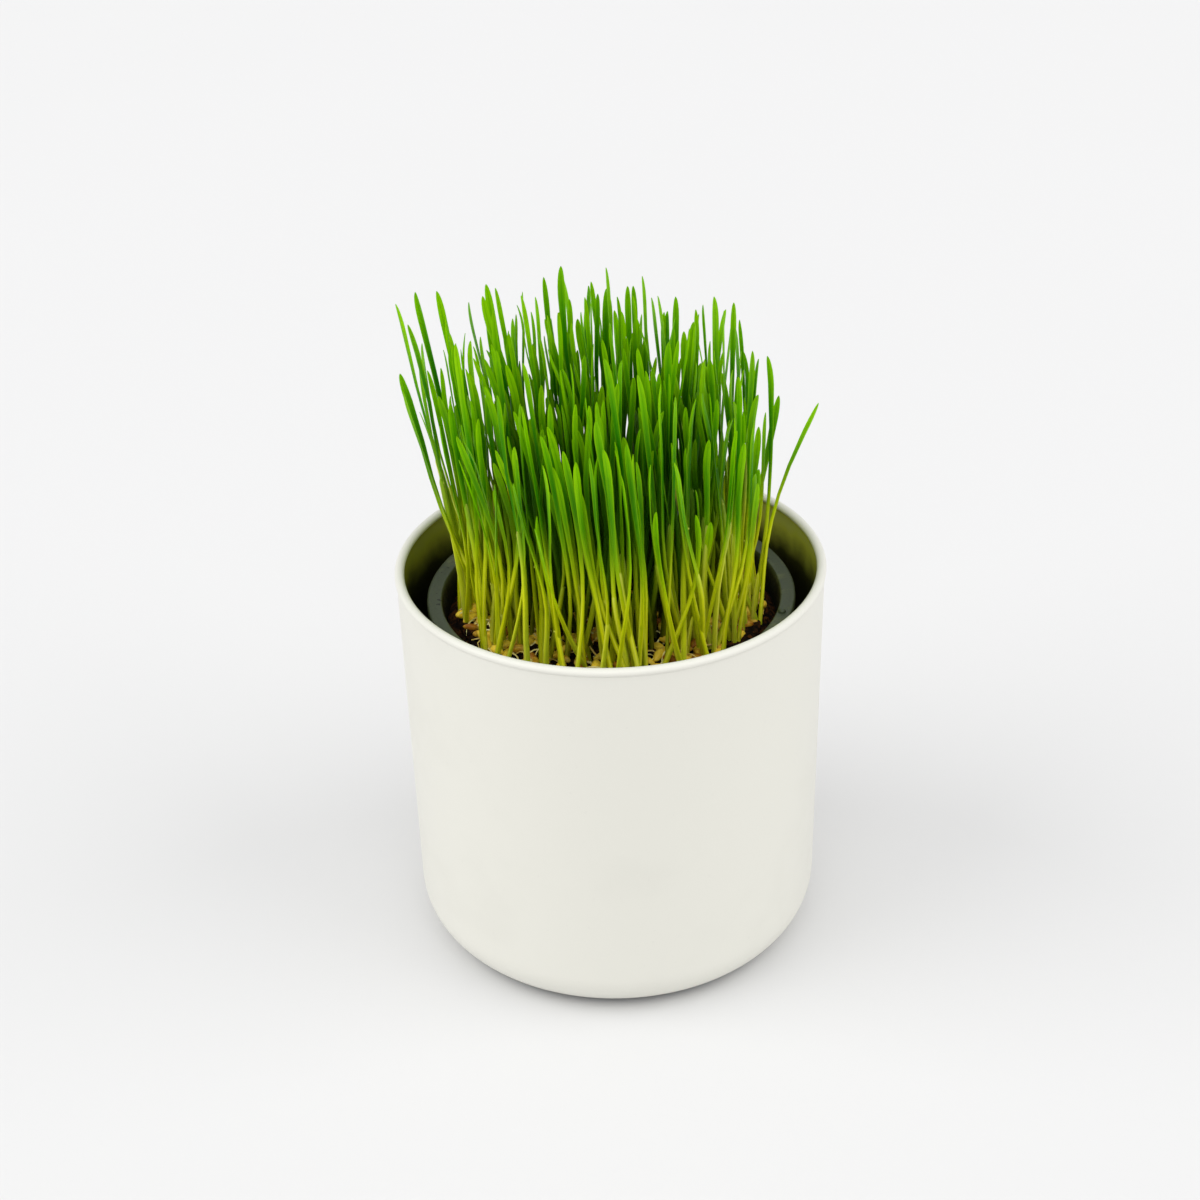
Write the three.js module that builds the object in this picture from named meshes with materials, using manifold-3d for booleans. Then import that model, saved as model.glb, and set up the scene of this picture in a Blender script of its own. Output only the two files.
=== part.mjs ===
// A pot of wheatgrass: a white cover pot with a rolled rim, the dark nursery pot that stands in it, the soil,
// and a turf of young wheat, which is root mat, grains and one tall blade from each seedling.
// Millimetres, +Z up. The origin is the centre of the cover pot's base, on the surface that it stands on.

import * as THREE from "three";
import { mergeVertices } from "three/addons/utils/BufferGeometryUtils.js";
import Module from "manifold-3d";

const wasm = await Module();
wasm.setup();

// Driving dimensions

const CLEARANCE = 0.3; // between pieces that rest on each other
const FULL_TURN = 2 * Math.PI;

const COVER = {
  height: 134,
  rimRadius: 70, // outermost, over the rolled rim
  rollRadius: 1.55, // of the roll itself
  wallRadiusTop: 69.4,
  wallRadiusBase: 68.3, // where the wall's line would meet the ground
  wall: 0.9,
  cornerRadius: 16.8,
  recessRadius: 38, // of the shallow recess under the base
  recess: 0.8,
  recessStep: 1,
  sides: 48,
  cornerSteps: 5,
  rollFrom: -45, // degrees round the roll, from its outside to its inside
  rollTo: 225,
  rollSteps: 6,
};

const NURSERY = {
  rimTop: 123.5,
  rimRadius: 60,
  mouthRadius: 55.2,
  baseRadius: 43,
  baseChamfer: 1,
  wall: 1.1,
  floor: 1.5,
  lipDrop: 5,
  edgeRound: 0.7,
  edgeSteps: 2,
  drainHoles: 8,
  drainRadius: 4,
  drainRing: 29,
  drainSides: 8,
  sides: 48,
};

const SOIL = { top: 115.5, flatRadius: 51.6, edgeDip: 1.6, footChamfer: 0.5, sides: 48 };

const MAT = { thickness: 2.5, radius: 51, ragged: 1.1, corners: 26, crack: 0.4 };

// Clumps of turf: how many stand in each ring, how far out, and where the first one is, in radians
const CLUMP_RINGS = [
  { count: 1, radius: 0, jitter: 0, start: 0 },
  { count: 6, radius: 20.5, jitter: 1.4, start: 0.3 },
  { count: 12, radius: 40.5, jitter: 1.4, start: 0.1 },
];

const GRAIN = {
  length: 6.6,
  width: 3.5,
  height: 3,
  lift: 0.35, // of its middle above the mat
  germ: 0.5, // from its end to the shoot's middle
  stemClear: 1.1,
  perClump: 4,
  tries: 160,
};

const SWARD = {
  blades: 300,
  footRadius: 49.5,
  footJitter: 1.3,
  edgeMargin: 1.2, // from a foot's middle to the edge of its clump
  rootDepth: 1.6,
  height: 82,
  heightSpread: 21,
  shortest: 50,
  tallest: 104, // in the middle of the pot
  backDrop: 0.3, // how much lower the tallest reaches for each millimetre further back
  stray: 7, // sideways wander of a tip
  spreadX: 0.1, // how much wider the sward is at its tips than at its feet
  spreadY: 0.08,
  leftLean: 3.5,
  bow: 3.2, // sideways bend of a blade between its ends
  bendFrom: 0.9, // power of the height by which a blade leans: over 1, it leans more as it rises
  bendTo: 1.6,
};

// A blade at several heights above the mat: a round sheath below, a flat leaf above
const BLADE = {
  heights: [0, 25, 60, 95, 125],
  halfWidths: [0.9, 0.85, 1.3, 1.55, 1.55],
  thicknesses: [1.7, 1.5, 1, 0.9, 0.9],
  tipLength: 9,
  tipHalfWidth: 1.3,
  twist: 0.006, // radians for each millimetre
};

// Blades that stand out against the sky or alone at the edge: foot x and y, tip x and y, height above the mat
const SKYLINE = [
  [-49, 4, -64, 10, 102],
  [-45, 12, -58, 12, 105],
  [-46, -2, -60, 3, 98],
  [-39, 20, -52, 20, 102],
  [-50, -6, -63, -2, 84],
  [-32, 24, -42, 26, 96],
  [-27, 30, -38, 32, 99],
  [-24, 22, -34, 24, 101],
  [-20, 32, -26, 33, 96],
  [-12, 30, -19, 30, 102],
  [-8, 24, -13, 26, 107],
  [-4, 34, -14, 36, 101],
  [-2, 20, -6, 22, 98],
  [4, 28, 1, 29, 105],
  [2, 36, -4, 38, 97],
  [12, 26, 9, 28, 96],
  [16, 32, 12, 34, 100],
  [20, 24, 17, 24, 97],
  [24, 34, 23, 36, 92],
  [30, 26, 30, 28, 89],
  [35, 20, 34, 20, 98],
  [39, 12, 40, 12, 99],
  [42, 4, 45, 4, 86],
  [44, 12, 48, 12, 80],
  [48, 4, 54, 6, 70],
  [50, -3, 66, 2, 69],
];
const SKYLINE_BEND = { tall: 1.3, short: 2.2, shortBelow: 75 };

// How blades that come too close are pushed apart, in rounds, and how much of it a skyline blade takes
const PUSH = { rounds: 90, share: 0.55, gap: 0.35, skylineShare: 0.1, least: 0.01 };

// A foot that stands off its clump is drawn towards the clump's middle in small steps
const DRAW_IN = { steps: 40, share: 0.04 };

const SEED = 20417;
const RANDOM_MULTIPLIER = 16807;
const RANDOM_MODULUS = 2147483647;

// Materials

const finish = (color, roughness) => new THREE.MeshStandardMaterial({ color, roughness, metalness: 0 });
const whitePaint = finish(0xeae9e0, 0.55);
const darkPlastic = finish(0x3a423f, 0.6);
const darkSoil = finish(0x2a1d14, 0.95);
const wheatGreen = finish(0x5f9a1c, 0.5);

// Numbers drawn in a fixed order, each from 0 to 1
function seededRandom(seed) {
  let state = seed;
  return () => {
    state = (state * RANDOM_MULTIPLIER) % RANDOM_MODULUS;
    return state / RANDOM_MODULUS;
  };
}

const eitherWay = (random) => 2 * random() - 1;

// A closed geometry as a solid that can be joined and cut
function solidOf(geometry) {
  const bare = geometry.clone();
  bare.deleteAttribute("normal");
  bare.deleteAttribute("uv");
  const merged = mergeVertices(bare);
  const index = merged.index.array;
  const kept = [];
  for (let i = 0; i < index.length; i += 3) {
    const [a, b, c] = [index[i], index[i + 1], index[i + 2]];
    if (a !== b && b !== c && c !== a) kept.push(a, b, c);
  }
  const vertProperties = merged.attributes.position.array;
  return new wasm.Manifold(new wasm.Mesh({ numProp: 3, vertProperties, triVerts: new Uint32Array(kept) }));
}

// A solid as a named mesh
function meshOf(name, solid, material) {
  const made = solid.getMesh();
  const geometry = new THREE.BufferGeometry();
  geometry.setAttribute("position", new THREE.BufferAttribute(made.vertProperties, 3));
  geometry.setIndex(new THREE.BufferAttribute(made.triVerts, 1));
  geometry.computeVertexNormals();
  const mesh = new THREE.Mesh(geometry, material);
  mesh.name = name;
  return mesh;
}

// A solid turned about the Z axis from a profile of [radius, height] points
function turned(profile, sides) {
  const points = profile.map(([r, z]) => new THREE.Vector2(r, z));
  return solidOf(new THREE.LatheGeometry(points, sides).rotateX(Math.PI / 2));
}

// Points on an arc in a profile, ends included
function arc(centreR, centreZ, radius, fromDegrees, toDegrees, steps) {
  return Array.from({ length: steps + 1 }, (_, i) => {
    const angle = THREE.MathUtils.degToRad(THREE.MathUtils.lerp(fromDegrees, toDegrees, i / steps));
    return [centreR + radius * Math.cos(angle), centreZ + radius * Math.sin(angle)];
  });
}

// The cover pot: a thin shell with a big rounded corner at its foot and a roll round its mouth

function coverPot() {
  const c = COVER;
  const slope = (c.wallRadiusTop - c.wallRadiusBase) / c.height;
  const slopeDegrees = THREE.MathUtils.radToDeg(Math.atan(slope));
  const cornerR = c.wallRadiusBase + slope * c.cornerRadius - c.cornerRadius;
  const outside = [
    [0, c.recess],
    [c.recessRadius - c.recessStep, c.recess],
    [c.recessRadius, 0],
    ...arc(cornerR, c.cornerRadius, c.cornerRadius, -90, -slopeDegrees, c.cornerSteps),
  ];
  const [rollR, rollZ] = [c.rimRadius - c.rollRadius, c.height - c.rollRadius];
  const roll = arc(rollR, rollZ, c.rollRadius, c.rollFrom, c.rollTo, c.rollSteps);
  const inside = [
    ...arc(cornerR, c.cornerRadius, c.cornerRadius - c.wall, -slopeDegrees, -90, c.cornerSteps),
    [c.recessRadius, c.wall],
    [c.recessRadius - c.recessStep, c.recess + c.wall],
    [0, c.recess + c.wall],
  ];
  return turned([...outside, ...roll, ...inside], c.sides);
}

// The nursery pot: a tapered cup with a flat ring for a rim, a lip turned down from it, and drain holes

const nurseryFoot = COVER.recess + COVER.wall + CLEARANCE;
const nurseryFloorTop = nurseryFoot + NURSERY.floor;

function nurseryPot() {
  const n = NURSERY;
  const lipInner = n.rimRadius - n.wall;
  const cup = turned(
    [
      [0, nurseryFoot],
      [n.baseRadius - n.baseChamfer, nurseryFoot],
      [n.baseRadius, nurseryFoot + n.baseChamfer],
      [n.mouthRadius + n.wall, n.rimTop - n.wall],
      [lipInner, n.rimTop - n.wall],
      [lipInner, n.rimTop - n.lipDrop],
      [n.rimRadius, n.rimTop - n.lipDrop],
      ...arc(n.rimRadius - n.edgeRound, n.rimTop - n.edgeRound, n.edgeRound, 0, 90, n.edgeSteps),
      [n.mouthRadius, n.rimTop],
      [n.baseRadius - n.wall, nurseryFloorTop],
      [0, nurseryFloorTop],
    ],
    n.sides,
  );
  const drill = new THREE.CylinderGeometry(n.drainRadius, n.drainRadius, 2 * nurseryFloorTop, n.drainSides);
  drill.rotateX(Math.PI / 2).translate(0, 0, nurseryFloorTop);
  const holes = Array.from({ length: n.drainHoles }, (_, i) => {
    const angle = (FULL_TURN * i) / n.drainHoles;
    return solidOf(drill.clone().translate(n.drainRing * Math.cos(angle), n.drainRing * Math.sin(angle), 0));
  });
  return holes.reduce((left, hole) => left.subtract(hole), cup);
}

// The soil fills the nursery pot, and dips a little round the edge of the turf

function soil() {
  const n = NURSERY;
  const wallSlope = (n.mouthRadius - n.baseRadius + n.wall) / (n.rimTop - nurseryFloorTop);
  const wallAt = (z) => n.baseRadius - n.wall + wallSlope * (z - nurseryFloorTop) - CLEARANCE;
  const bottom = nurseryFloorTop + CLEARANCE;
  const edgeTop = SOIL.top - SOIL.edgeDip;
  return turned(
    [
      [0, bottom],
      [wallAt(bottom) - SOIL.footChamfer, bottom],
      [wallAt(bottom + SOIL.footChamfer), bottom + SOIL.footChamfer],
      [wallAt(edgeTop), edgeTop],
      [SOIL.flatRadius, SOIL.top],
      [0, SOIL.top],
    ],
    SOIL.sides,
  );
}

// The clumps of turf, each with the patch of root mat that its seedlings share

const matFoot = SOIL.top + CLEARANCE;
const matTop = matFoot + MAT.thickness;

function clumpCentres(random) {
  return CLUMP_RINGS.flatMap(({ count, radius, jitter, start }) =>
    Array.from({ length: count }, (_, i) => {
      const angle = start + (FULL_TURN * i) / count;
      const x = radius * Math.cos(angle) + jitter * eitherWay(random);
      const y = radius * Math.sin(angle) + jitter * eitherWay(random);
      return [x, y];
    }),
  );
}

// The part of a convex outline on the near side of a line, which is where p . normal is at most reach
function clipped(outline, normal, reach) {
  const past = ([x, y]) => x * normal[0] + y * normal[1] - reach;
  return outline.flatMap((p, i) => {
    const q = outline[(i + 1) % outline.length];
    const [a, b] = [past(p), past(q)];
    const kept = a <= 0 ? [p] : [];
    const t = a / (a - b);
    if (a * b < 0) kept.push([p[0] + (q[0] - p[0]) * t, p[1] + (q[1] - p[1]) * t]);
    return kept;
  });
}

// Each clump's outline: what is nearer to it than to any other clump, within the mat's ragged round edge
function clumpOutlines(centres, random) {
  const edge = Array.from({ length: MAT.corners }, (_, i) => {
    const angle = (FULL_TURN * i) / MAT.corners;
    const r = MAT.radius - MAT.ragged * random();
    return [r * Math.cos(angle), r * Math.sin(angle)];
  });
  return centres.map((own) =>
    centres.reduce((outline, other) => {
      if (other === own) return outline;
      const [dx, dy] = [other[0] - own[0], other[1] - own[1]];
      const apart = Math.hypot(dx, dy);
      const normal = [dx / apart, dy / apart];
      const middle = (normal[0] * (own[0] + other[0]) + normal[1] * (own[1] + other[1])) / 2;
      return clipped(outline, normal, middle - MAT.crack / 2);
    }, edge),
  );
}

// The sides of an anticlockwise outline, each as a point on it and its outward direction
function sidesOf(outline) {
  return outline.map((p, i) => {
    const q = outline[(i + 1) % outline.length];
    const length = Math.hypot(q[0] - p[0], q[1] - p[1]);
    return { p, outward: [(q[1] - p[1]) / length, (p[0] - q[0]) / length] };
  });
}

// How far inside an outline a point is
function depthInside(outline, [x, y]) {
  const depths = sidesOf(outline).map(({ p, outward }) => (p[0] - x) * outward[0] + (p[1] - y) * outward[1]);
  return Math.min(...depths);
}

function nearestClump(centres, [x, y]) {
  const away = centres.map((c) => Math.hypot(x - c[0], y - c[1]));
  return away.indexOf(Math.min(...away));
}

// A foot moved towards its clump's middle until it stands on its clump
function drawnIn(foot, centre, outline) {
  let [x, y] = foot;
  for (let step = 0; step < DRAW_IN.steps && depthInside(outline, [x, y]) < SWARD.edgeMargin; step += 1) {
    x += (centre[0] - x) * DRAW_IN.share;
    y += (centre[1] - y) * DRAW_IN.share;
  }
  return [x, y];
}

// The sward: where each blade's foot stands, and how it rises

// A value at a height above the mat, from a list of values at BLADE.heights
function valueAt(values, height) {
  const { heights } = BLADE;
  const next = heights.findIndex((z) => z > height);
  const k = (next < 0 ? heights.length - 1 : next) - 1;
  return THREE.MathUtils.mapLinear(height, heights[k], heights[k + 1], values[k], values[k + 1]);
}

// A blade's path from its foot to its tip, and on past the tip for the levels that are higher
function bladePath(foot, tip, height, bend, bow) {
  return BLADE.heights.map((z) => {
    const s = z / height;
    const rise = Math.pow(s, bend);
    const belly = 4 * s * (1 - s);
    const x = foot[0] + (tip[0] - foot[0]) * rise + bow[0] * belly;
    const y = foot[1] + (tip[1] - foot[1]) * rise + bow[1] * belly;
    return [x, y];
  });
}

function skylineBlades(placeFoot, random) {
  return SKYLINE.map(([footX, footY, tipX, tipY, height]) => {
    const { clump, foot } = placeFoot([footX, footY]);
    const bend = height < SKYLINE_BEND.shortBelow ? SKYLINE_BEND.short : SKYLINE_BEND.tall;
    const path = bladePath(foot, [tipX, tipY], height, bend, [0, 0]);
    return { clump, foot, path, height, turn: FULL_TURN * random(), skyline: true };
  });
}

// One of the other blades, whose feet follow the spiral of a sunflower's seeds with some jitter
function commonBlade(number, placeFoot, random) {
  const goldenAngle = Math.PI * (3 - Math.sqrt(5));
  const r = SWARD.footRadius * Math.sqrt((number + 0.5) / SWARD.blades);
  const x = r * Math.cos(number * goldenAngle) + SWARD.footJitter * eitherWay(random);
  const y = r * Math.sin(number * goldenAngle) + SWARD.footJitter * eitherWay(random);
  const { clump, foot } = placeFoot([x, y]);
  const scatter = random() + random() + random() - 1.5;
  const tallest = SWARD.tallest - SWARD.backDrop * foot[1];
  const wanted = SWARD.height + SWARD.heightSpread * scatter;
  const height = Math.min(Math.max(wanted, SWARD.shortest), tallest);
  const tipX = foot[0] * (1 + SWARD.spreadX) + SWARD.stray * eitherWay(random) - SWARD.leftLean;
  const tipY = foot[1] * (1 + SWARD.spreadY) + SWARD.stray * eitherWay(random);
  const bow = [SWARD.bow * eitherWay(random), SWARD.bow * eitherWay(random)];
  const bend = THREE.MathUtils.lerp(SWARD.bendFrom, SWARD.bendTo, random());
  const path = bladePath(foot, [tipX, tipY], height, bend, bow);
  return { clump, foot, path, height, turn: FULL_TURN * random(), skyline: false };
}

function growBlades(centres, outlines, random) {
  const placeFoot = (spot) => {
    const clump = nearestClump(centres, spot);
    return { clump, foot: drawnIn(spot, centres[clump], outlines[clump]) };
  };
  const blades = skylineBlades(placeFoot, random);
  for (let number = 0; blades.length < SWARD.blades; number += 1) {
    blades.push(commonBlade(number, placeFoot, random));
  }
  return blades;
}

// How two blades that come too close between levels k and k + 1 should move apart: the push on each level
function pushBetween(a, b, k) {
  const { halfWidths } = BLADE;
  const [x0, y0] = [b.path[k][0] - a.path[k][0], b.path[k][1] - a.path[k][1]];
  const [x1, y1] = [b.path[k + 1][0] - a.path[k + 1][0], b.path[k + 1][1] - a.path[k + 1][1]];
  const [changeX, changeY] = [x1 - x0, y1 - y0];
  const change = changeX * changeX + changeY * changeY;
  const closest = change > 0 ? -(x0 * changeX + y0 * changeY) / change : 0;
  const t = Math.min(Math.max(closest, 0), 1);
  const [x, y] = [x0 + t * changeX, y0 + t * changeY];
  const away = Math.hypot(x, y);
  const need = 2 * THREE.MathUtils.lerp(halfWidths[k], halfWidths[k + 1], t) + PUSH.gap;
  if (away >= need) return null;
  const push = (PUSH.share * (need - away)) / (away + PUSH.least);
  return { x: push * x, y: push * y, weights: [1 - t, t] };
}

// Pushes blades apart until none touch, with their feet held where they are
function pushApart(blades) {
  const { heights } = BLADE;
  for (let round = 0; round < PUSH.rounds; round += 1) {
    const moves = blades.map((blade) => blade.path.map(() => [0, 0]));
    for (let i = 0; i < blades.length; i += 1) {
      for (let j = i + 1; j < blades.length; j += 1) {
        const [a, b] = [blades[i], blades[j]];
        const shareOfSkyline = a.skyline ? PUSH.skylineShare : 1 - PUSH.skylineShare;
        const shareA = a.skyline === b.skyline ? 0.5 : shareOfSkyline;
        const lower = Math.min(a.height, b.height);
        for (let k = 0; k + 1 < heights.length && heights[k] < lower; k += 1) {
          const push = pushBetween(a, b, k);
          if (push === null) continue;
          push.weights.forEach((weight, step) => {
            if (k + step === 0) return;
            moves[i][k + step][0] -= shareA * weight * push.x;
            moves[i][k + step][1] -= shareA * weight * push.y;
            moves[j][k + step][0] += (1 - shareA) * weight * push.x;
            moves[j][k + step][1] += (1 - shareA) * weight * push.y;
          });
        }
      }
    }
    blades.forEach((blade, i) => {
      blade.path = blade.path.map(([x, y], k) => [x + moves[i][k][0], y + moves[i][k][1]]);
    });
  }
}

// One blade: a three-sided cone whose rings are set along its path, round at the sheath and flat in the leaf
function bladeSolid(blade) {
  const { heights, halfWidths, thicknesses, tipLength, tipHalfWidth, twist } = BLADE;
  const tipRing = blade.height - tipLength;
  const between = heights.filter((z) => z > 0 && z < tipRing - tipLength);
  const rings = [-SWARD.rootDepth, ...between, tipRing, blade.height];
  const spans = rings.length - 1;
  const cone = new THREE.ConeGeometry(1, 1, 3, spans);
  const position = cone.getAttribute("position");
  const unitHalfWidth = Math.sin(FULL_TURN / 3);
  const unitThickness = 1 + Math.cos(Math.PI / 3);
  const [pathX, pathY] = [blade.path.map((p) => p[0]), blade.path.map((p) => p[1])];
  for (let i = 0; i < position.count; i += 1) {
    const ring = Math.round((position.getY(i) + 0.5) * spans);
    const level = Math.max(rings[ring], 0);
    const unit = ring === spans ? 1 : 1 - ring / spans;
    const halfWidth = rings[ring] === tipRing ? tipHalfWidth : valueAt(halfWidths, level);
    const across = (position.getX(i) / unit / unitHalfWidth) * halfWidth;
    const deep = (position.getZ(i) / unit / unitThickness) * valueAt(thicknesses, level);
    const angle = blade.turn + twist * level;
    const x = valueAt(pathX, level) + across * Math.cos(angle) + deep * Math.sin(angle);
    const y = valueAt(pathY, level) + across * Math.sin(angle) - deep * Math.cos(angle);
    position.setXYZ(i, x, y, matTop + rings[ring]);
  }
  return solidOf(cone);
}

// Grains

// How far an oval lying at an angle reaches in a direction
function ovalReach(angle, [x, y]) {
  const along = x * Math.cos(angle) + y * Math.sin(angle);
  const across = y * Math.cos(angle) - x * Math.sin(angle);
  return Math.hypot((GRAIN.length / 2) * along, (GRAIN.width / 2) * across);
}

// A grain lies with one end at the foot of the shoot that it sends up, where it stays on its clump and is
// clear of the other grains and stems
function layGrains(outline, ownBlades, blades, random) {
  const sides = sidesOf(outline);
  const fromShoot = GRAIN.length / 2 - GRAIN.germ;
  const grains = [];
  for (let n = 0; n < GRAIN.tries && grains.length < GRAIN.perClump; n += 1) {
    const shoot = ownBlades[n % ownBlades.length];
    const angle = FULL_TURN * random();
    const x = shoot.foot[0] + fromShoot * Math.cos(angle);
    const y = shoot.foot[1] + fromShoot * Math.sin(angle);
    const onClump = sides.every(({ p, outward }) => {
      const left = (p[0] - x) * outward[0] + (p[1] - y) * outward[1];
      return left > ovalReach(angle, outward) + CLEARANCE;
    });
    const clearOf = (spot, margin) => {
      const away = Math.hypot(spot[0] - x, spot[1] - y);
      return away > ovalReach(angle, [(spot[0] - x) / away, (spot[1] - y) / away]) + margin;
    };
    const clearOfStems = blades.every((b) => b === shoot || clearOf(b.foot, GRAIN.stemClear));
    const clearOfGrains = grains.every((g) => clearOf([g.x, g.y], GRAIN.width / 2));
    if (onClump && clearOfStems && clearOfGrains) grains.push({ x, y, angle });
  }
  return grains;
}

function grainSolid({ x, y, angle }) {
  const oval = new THREE.IcosahedronGeometry(1).scale(GRAIN.length / 2, GRAIN.width / 2, GRAIN.height / 2);
  return solidOf(oval.rotateZ(angle).translate(x, y, matTop + GRAIN.lift));
}

function matSolid(outline) {
  const shape = new THREE.Shape(outline.map(([x, y]) => new THREE.Vector2(x, y)));
  const slab = new THREE.ExtrudeGeometry(shape, { depth: MAT.thickness, bevelEnabled: false });
  return solidOf(slab.translate(0, 0, matFoot));
}

// Each clump of turf is its patch of root mat, the grains on it and the blades from it, grown together
function turfClumps() {
  const random = seededRandom(SEED);
  const centres = clumpCentres(random);
  const outlines = clumpOutlines(centres, random);
  const blades = growBlades(centres, outlines, random);
  pushApart(blades);
  return outlines.map((outline, clump) => {
    const own = blades.filter((blade) => blade.clump === clump);
    const grains = layGrains(outline, own, blades, random);
    const grown = [...grains.map(grainSolid), ...own.map(bladeSolid)];
    const turf = grown.reduce((joined, piece) => joined.add(piece), matSolid(outline));
    return meshOf(`turf_${String(clump + 1).padStart(2, "0")}`, turf, wheatGreen);
  });
}

const wheatgrassPot = new THREE.Group();
wheatgrassPot.add(
  meshOf("cover_pot", coverPot(), whitePaint),
  meshOf("nursery_pot", nurseryPot(), darkPlastic),
  meshOf("soil", soil(), darkSoil),
  ...turfClumps(),
);

export default wheatgrassPot;
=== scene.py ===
"""A pot of young wheatgrass: a white cover pot, the nursery pot in it, soil, and a turf of wheat seedlings.

The turf is reckoned in millimetres, by the same rule as its solids, and the settings' default lengths are
written in millimetres too. Everything else is in metres.
"""

import contextlib
import functools
import math
import random
from dataclasses import dataclass

import bpy
import numpy as np
from bpy.props import FloatProperty, FloatVectorProperty, IntProperty, PointerProperty
from mathutils import Matrix, Vector


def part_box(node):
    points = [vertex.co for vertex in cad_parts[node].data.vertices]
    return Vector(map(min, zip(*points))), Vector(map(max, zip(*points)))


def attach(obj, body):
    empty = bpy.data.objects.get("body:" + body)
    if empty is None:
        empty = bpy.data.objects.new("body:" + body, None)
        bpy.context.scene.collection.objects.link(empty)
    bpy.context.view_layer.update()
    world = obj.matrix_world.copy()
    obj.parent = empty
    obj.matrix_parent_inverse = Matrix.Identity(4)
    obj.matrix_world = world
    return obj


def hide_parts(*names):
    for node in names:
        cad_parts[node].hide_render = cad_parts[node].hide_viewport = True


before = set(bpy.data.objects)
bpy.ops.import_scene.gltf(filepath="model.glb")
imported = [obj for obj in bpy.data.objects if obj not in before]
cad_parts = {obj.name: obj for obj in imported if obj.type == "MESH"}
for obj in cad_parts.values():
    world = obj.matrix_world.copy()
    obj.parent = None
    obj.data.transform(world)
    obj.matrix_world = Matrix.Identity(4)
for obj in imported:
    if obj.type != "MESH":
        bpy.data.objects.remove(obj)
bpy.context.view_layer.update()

bl_info = {
    "name": "Wheatgrass Pot",
    "version": (1, 0, 0),
    "blender": (4, 5, 0),
    "location": "View3D > Sidebar > Wheatgrass",
    "description": "Young wheatgrass in a nursery pot that stands in a white cover pot",
    "category": "Add Mesh",
}

MM = 0.001
FULL_TURN = 2 * math.pi

cover_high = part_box("cover_pot")[1]
nursery_low, nursery_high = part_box("nursery_pot")
soil_low, soil_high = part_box("soil")
turf_nodes = sorted(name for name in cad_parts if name.startswith("turf_"))

# The settings that a user would change


def a_length(name, description, size):
    """A length, whose default is given in millimetres."""
    return FloatProperty(
        name=name, description=description, default=size * MM, unit="LENGTH", min=0.0, precision=5
    )


def a_number(name, description, default, **limits):
    return FloatProperty(name=name, description=description, default=default, min=0.0, **limits)


def a_count(name, description, default, least=0):
    return IntProperty(name=name, description=description, default=default, min=least)


def a_colour(name, description, *default):
    return FloatVectorProperty(
        name=name, description=description, default=default, subtype="COLOR", size=3, min=0.0, max=1.0
    )


class CoverPotSettings(bpy.types.PropertyGroup):
    """The white pot outside."""

    roll: a_length("Roll", "Half the height of the rolled rim", 1.35)
    roll_wide: a_length("Roll width", "Half its width", 1.55)
    roll_inset: a_length("Roll inset", "From the solid's rim", 0.3)
    roll_rise: a_length("Roll rise", "Of its top over the solid's", 1.3)
    wall: a_length("Wall", "Thickness of the sheet", 0.9)
    top_inset: a_length("Top inset", "From the solid's rim in to the wall, at the top", 0.6)
    base_inset: a_length("Base inset", "From the solid's rim in to the wall's line, at the ground", 1.7)
    corner: a_length("Corner", "Radius of the rounded foot", 16.8)
    recess_radius: a_length("Recess radius", "Radius of the recess under the base", 38)
    recess: a_length("Recess", "Depth of that recess", 0.8)
    recess_step: a_length("Recess step", "Width of its edge", 1)
    sides: a_count("Sides", "Faces round the pot", 144, least=12)
    paint: a_colour("Paint", "Colour of the powder coat", 0.748, 0.74, 0.672)
    # Painted light: an olive that stands for green light reflected off the turf onto the coat inside, and
    # its shade
    inner_bounce_and_shade: a_colour("Inner paint", "Colour of the thin coat inside", 0.60, 0.61, 0.09)


class NurseryPotSettings(bpy.types.PropertyGroup):
    """The dark pot that the turf grows in."""

    ring: a_length("Ring", "Width of the flat rim", 4.8)
    lip: a_length("Lip", "Height of the turned-down lip", 5)
    wall: a_length("Wall", "Thickness of the plastic", 1.1)
    base_radius: a_length("Base radius", "Outer radius of the foot", 43)
    floor: a_length("Floor", "Thickness of the floor", 1.5)
    edge_round: a_length("Edge", "Roundness of the rim's edge", 0.7)
    drain_radius: a_length("Drain radius", "Of each drain hole", 4)
    drain_ring: a_length("Drain ring", "From the axis to the holes", 29)
    drain_holes: a_count("Drain holes", "How many", 8, least=1)
    sides: a_count("Sides", "Faces round the pot", 128, least=12)
    plastic: a_colour("Plastic", "Colour of the plastic", 0.060, 0.078, 0.045)
    dust: a_colour("Dust", "Colour of dried splashes on it", 0.125, 0.14, 0.075)


class SoilSettings(bpy.types.PropertyGroup):
    """Potting soil."""

    flat_radius: a_length("Flat radius", "Radius of the flat top", 51.6)
    edge_dip: a_length("Edge dip", "How far the edge dips", 1.6)
    crumbs: a_count("Crumbs", "Loose crumbs round the edge", 280)
    dark: a_colour("Dark soil", "Colour of the wet soil", 0.004, 0.002, 0.001)
    light: a_colour("Light soil", "Colour of the dry crumbs", 0.14, 0.045, 0.007)


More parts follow.
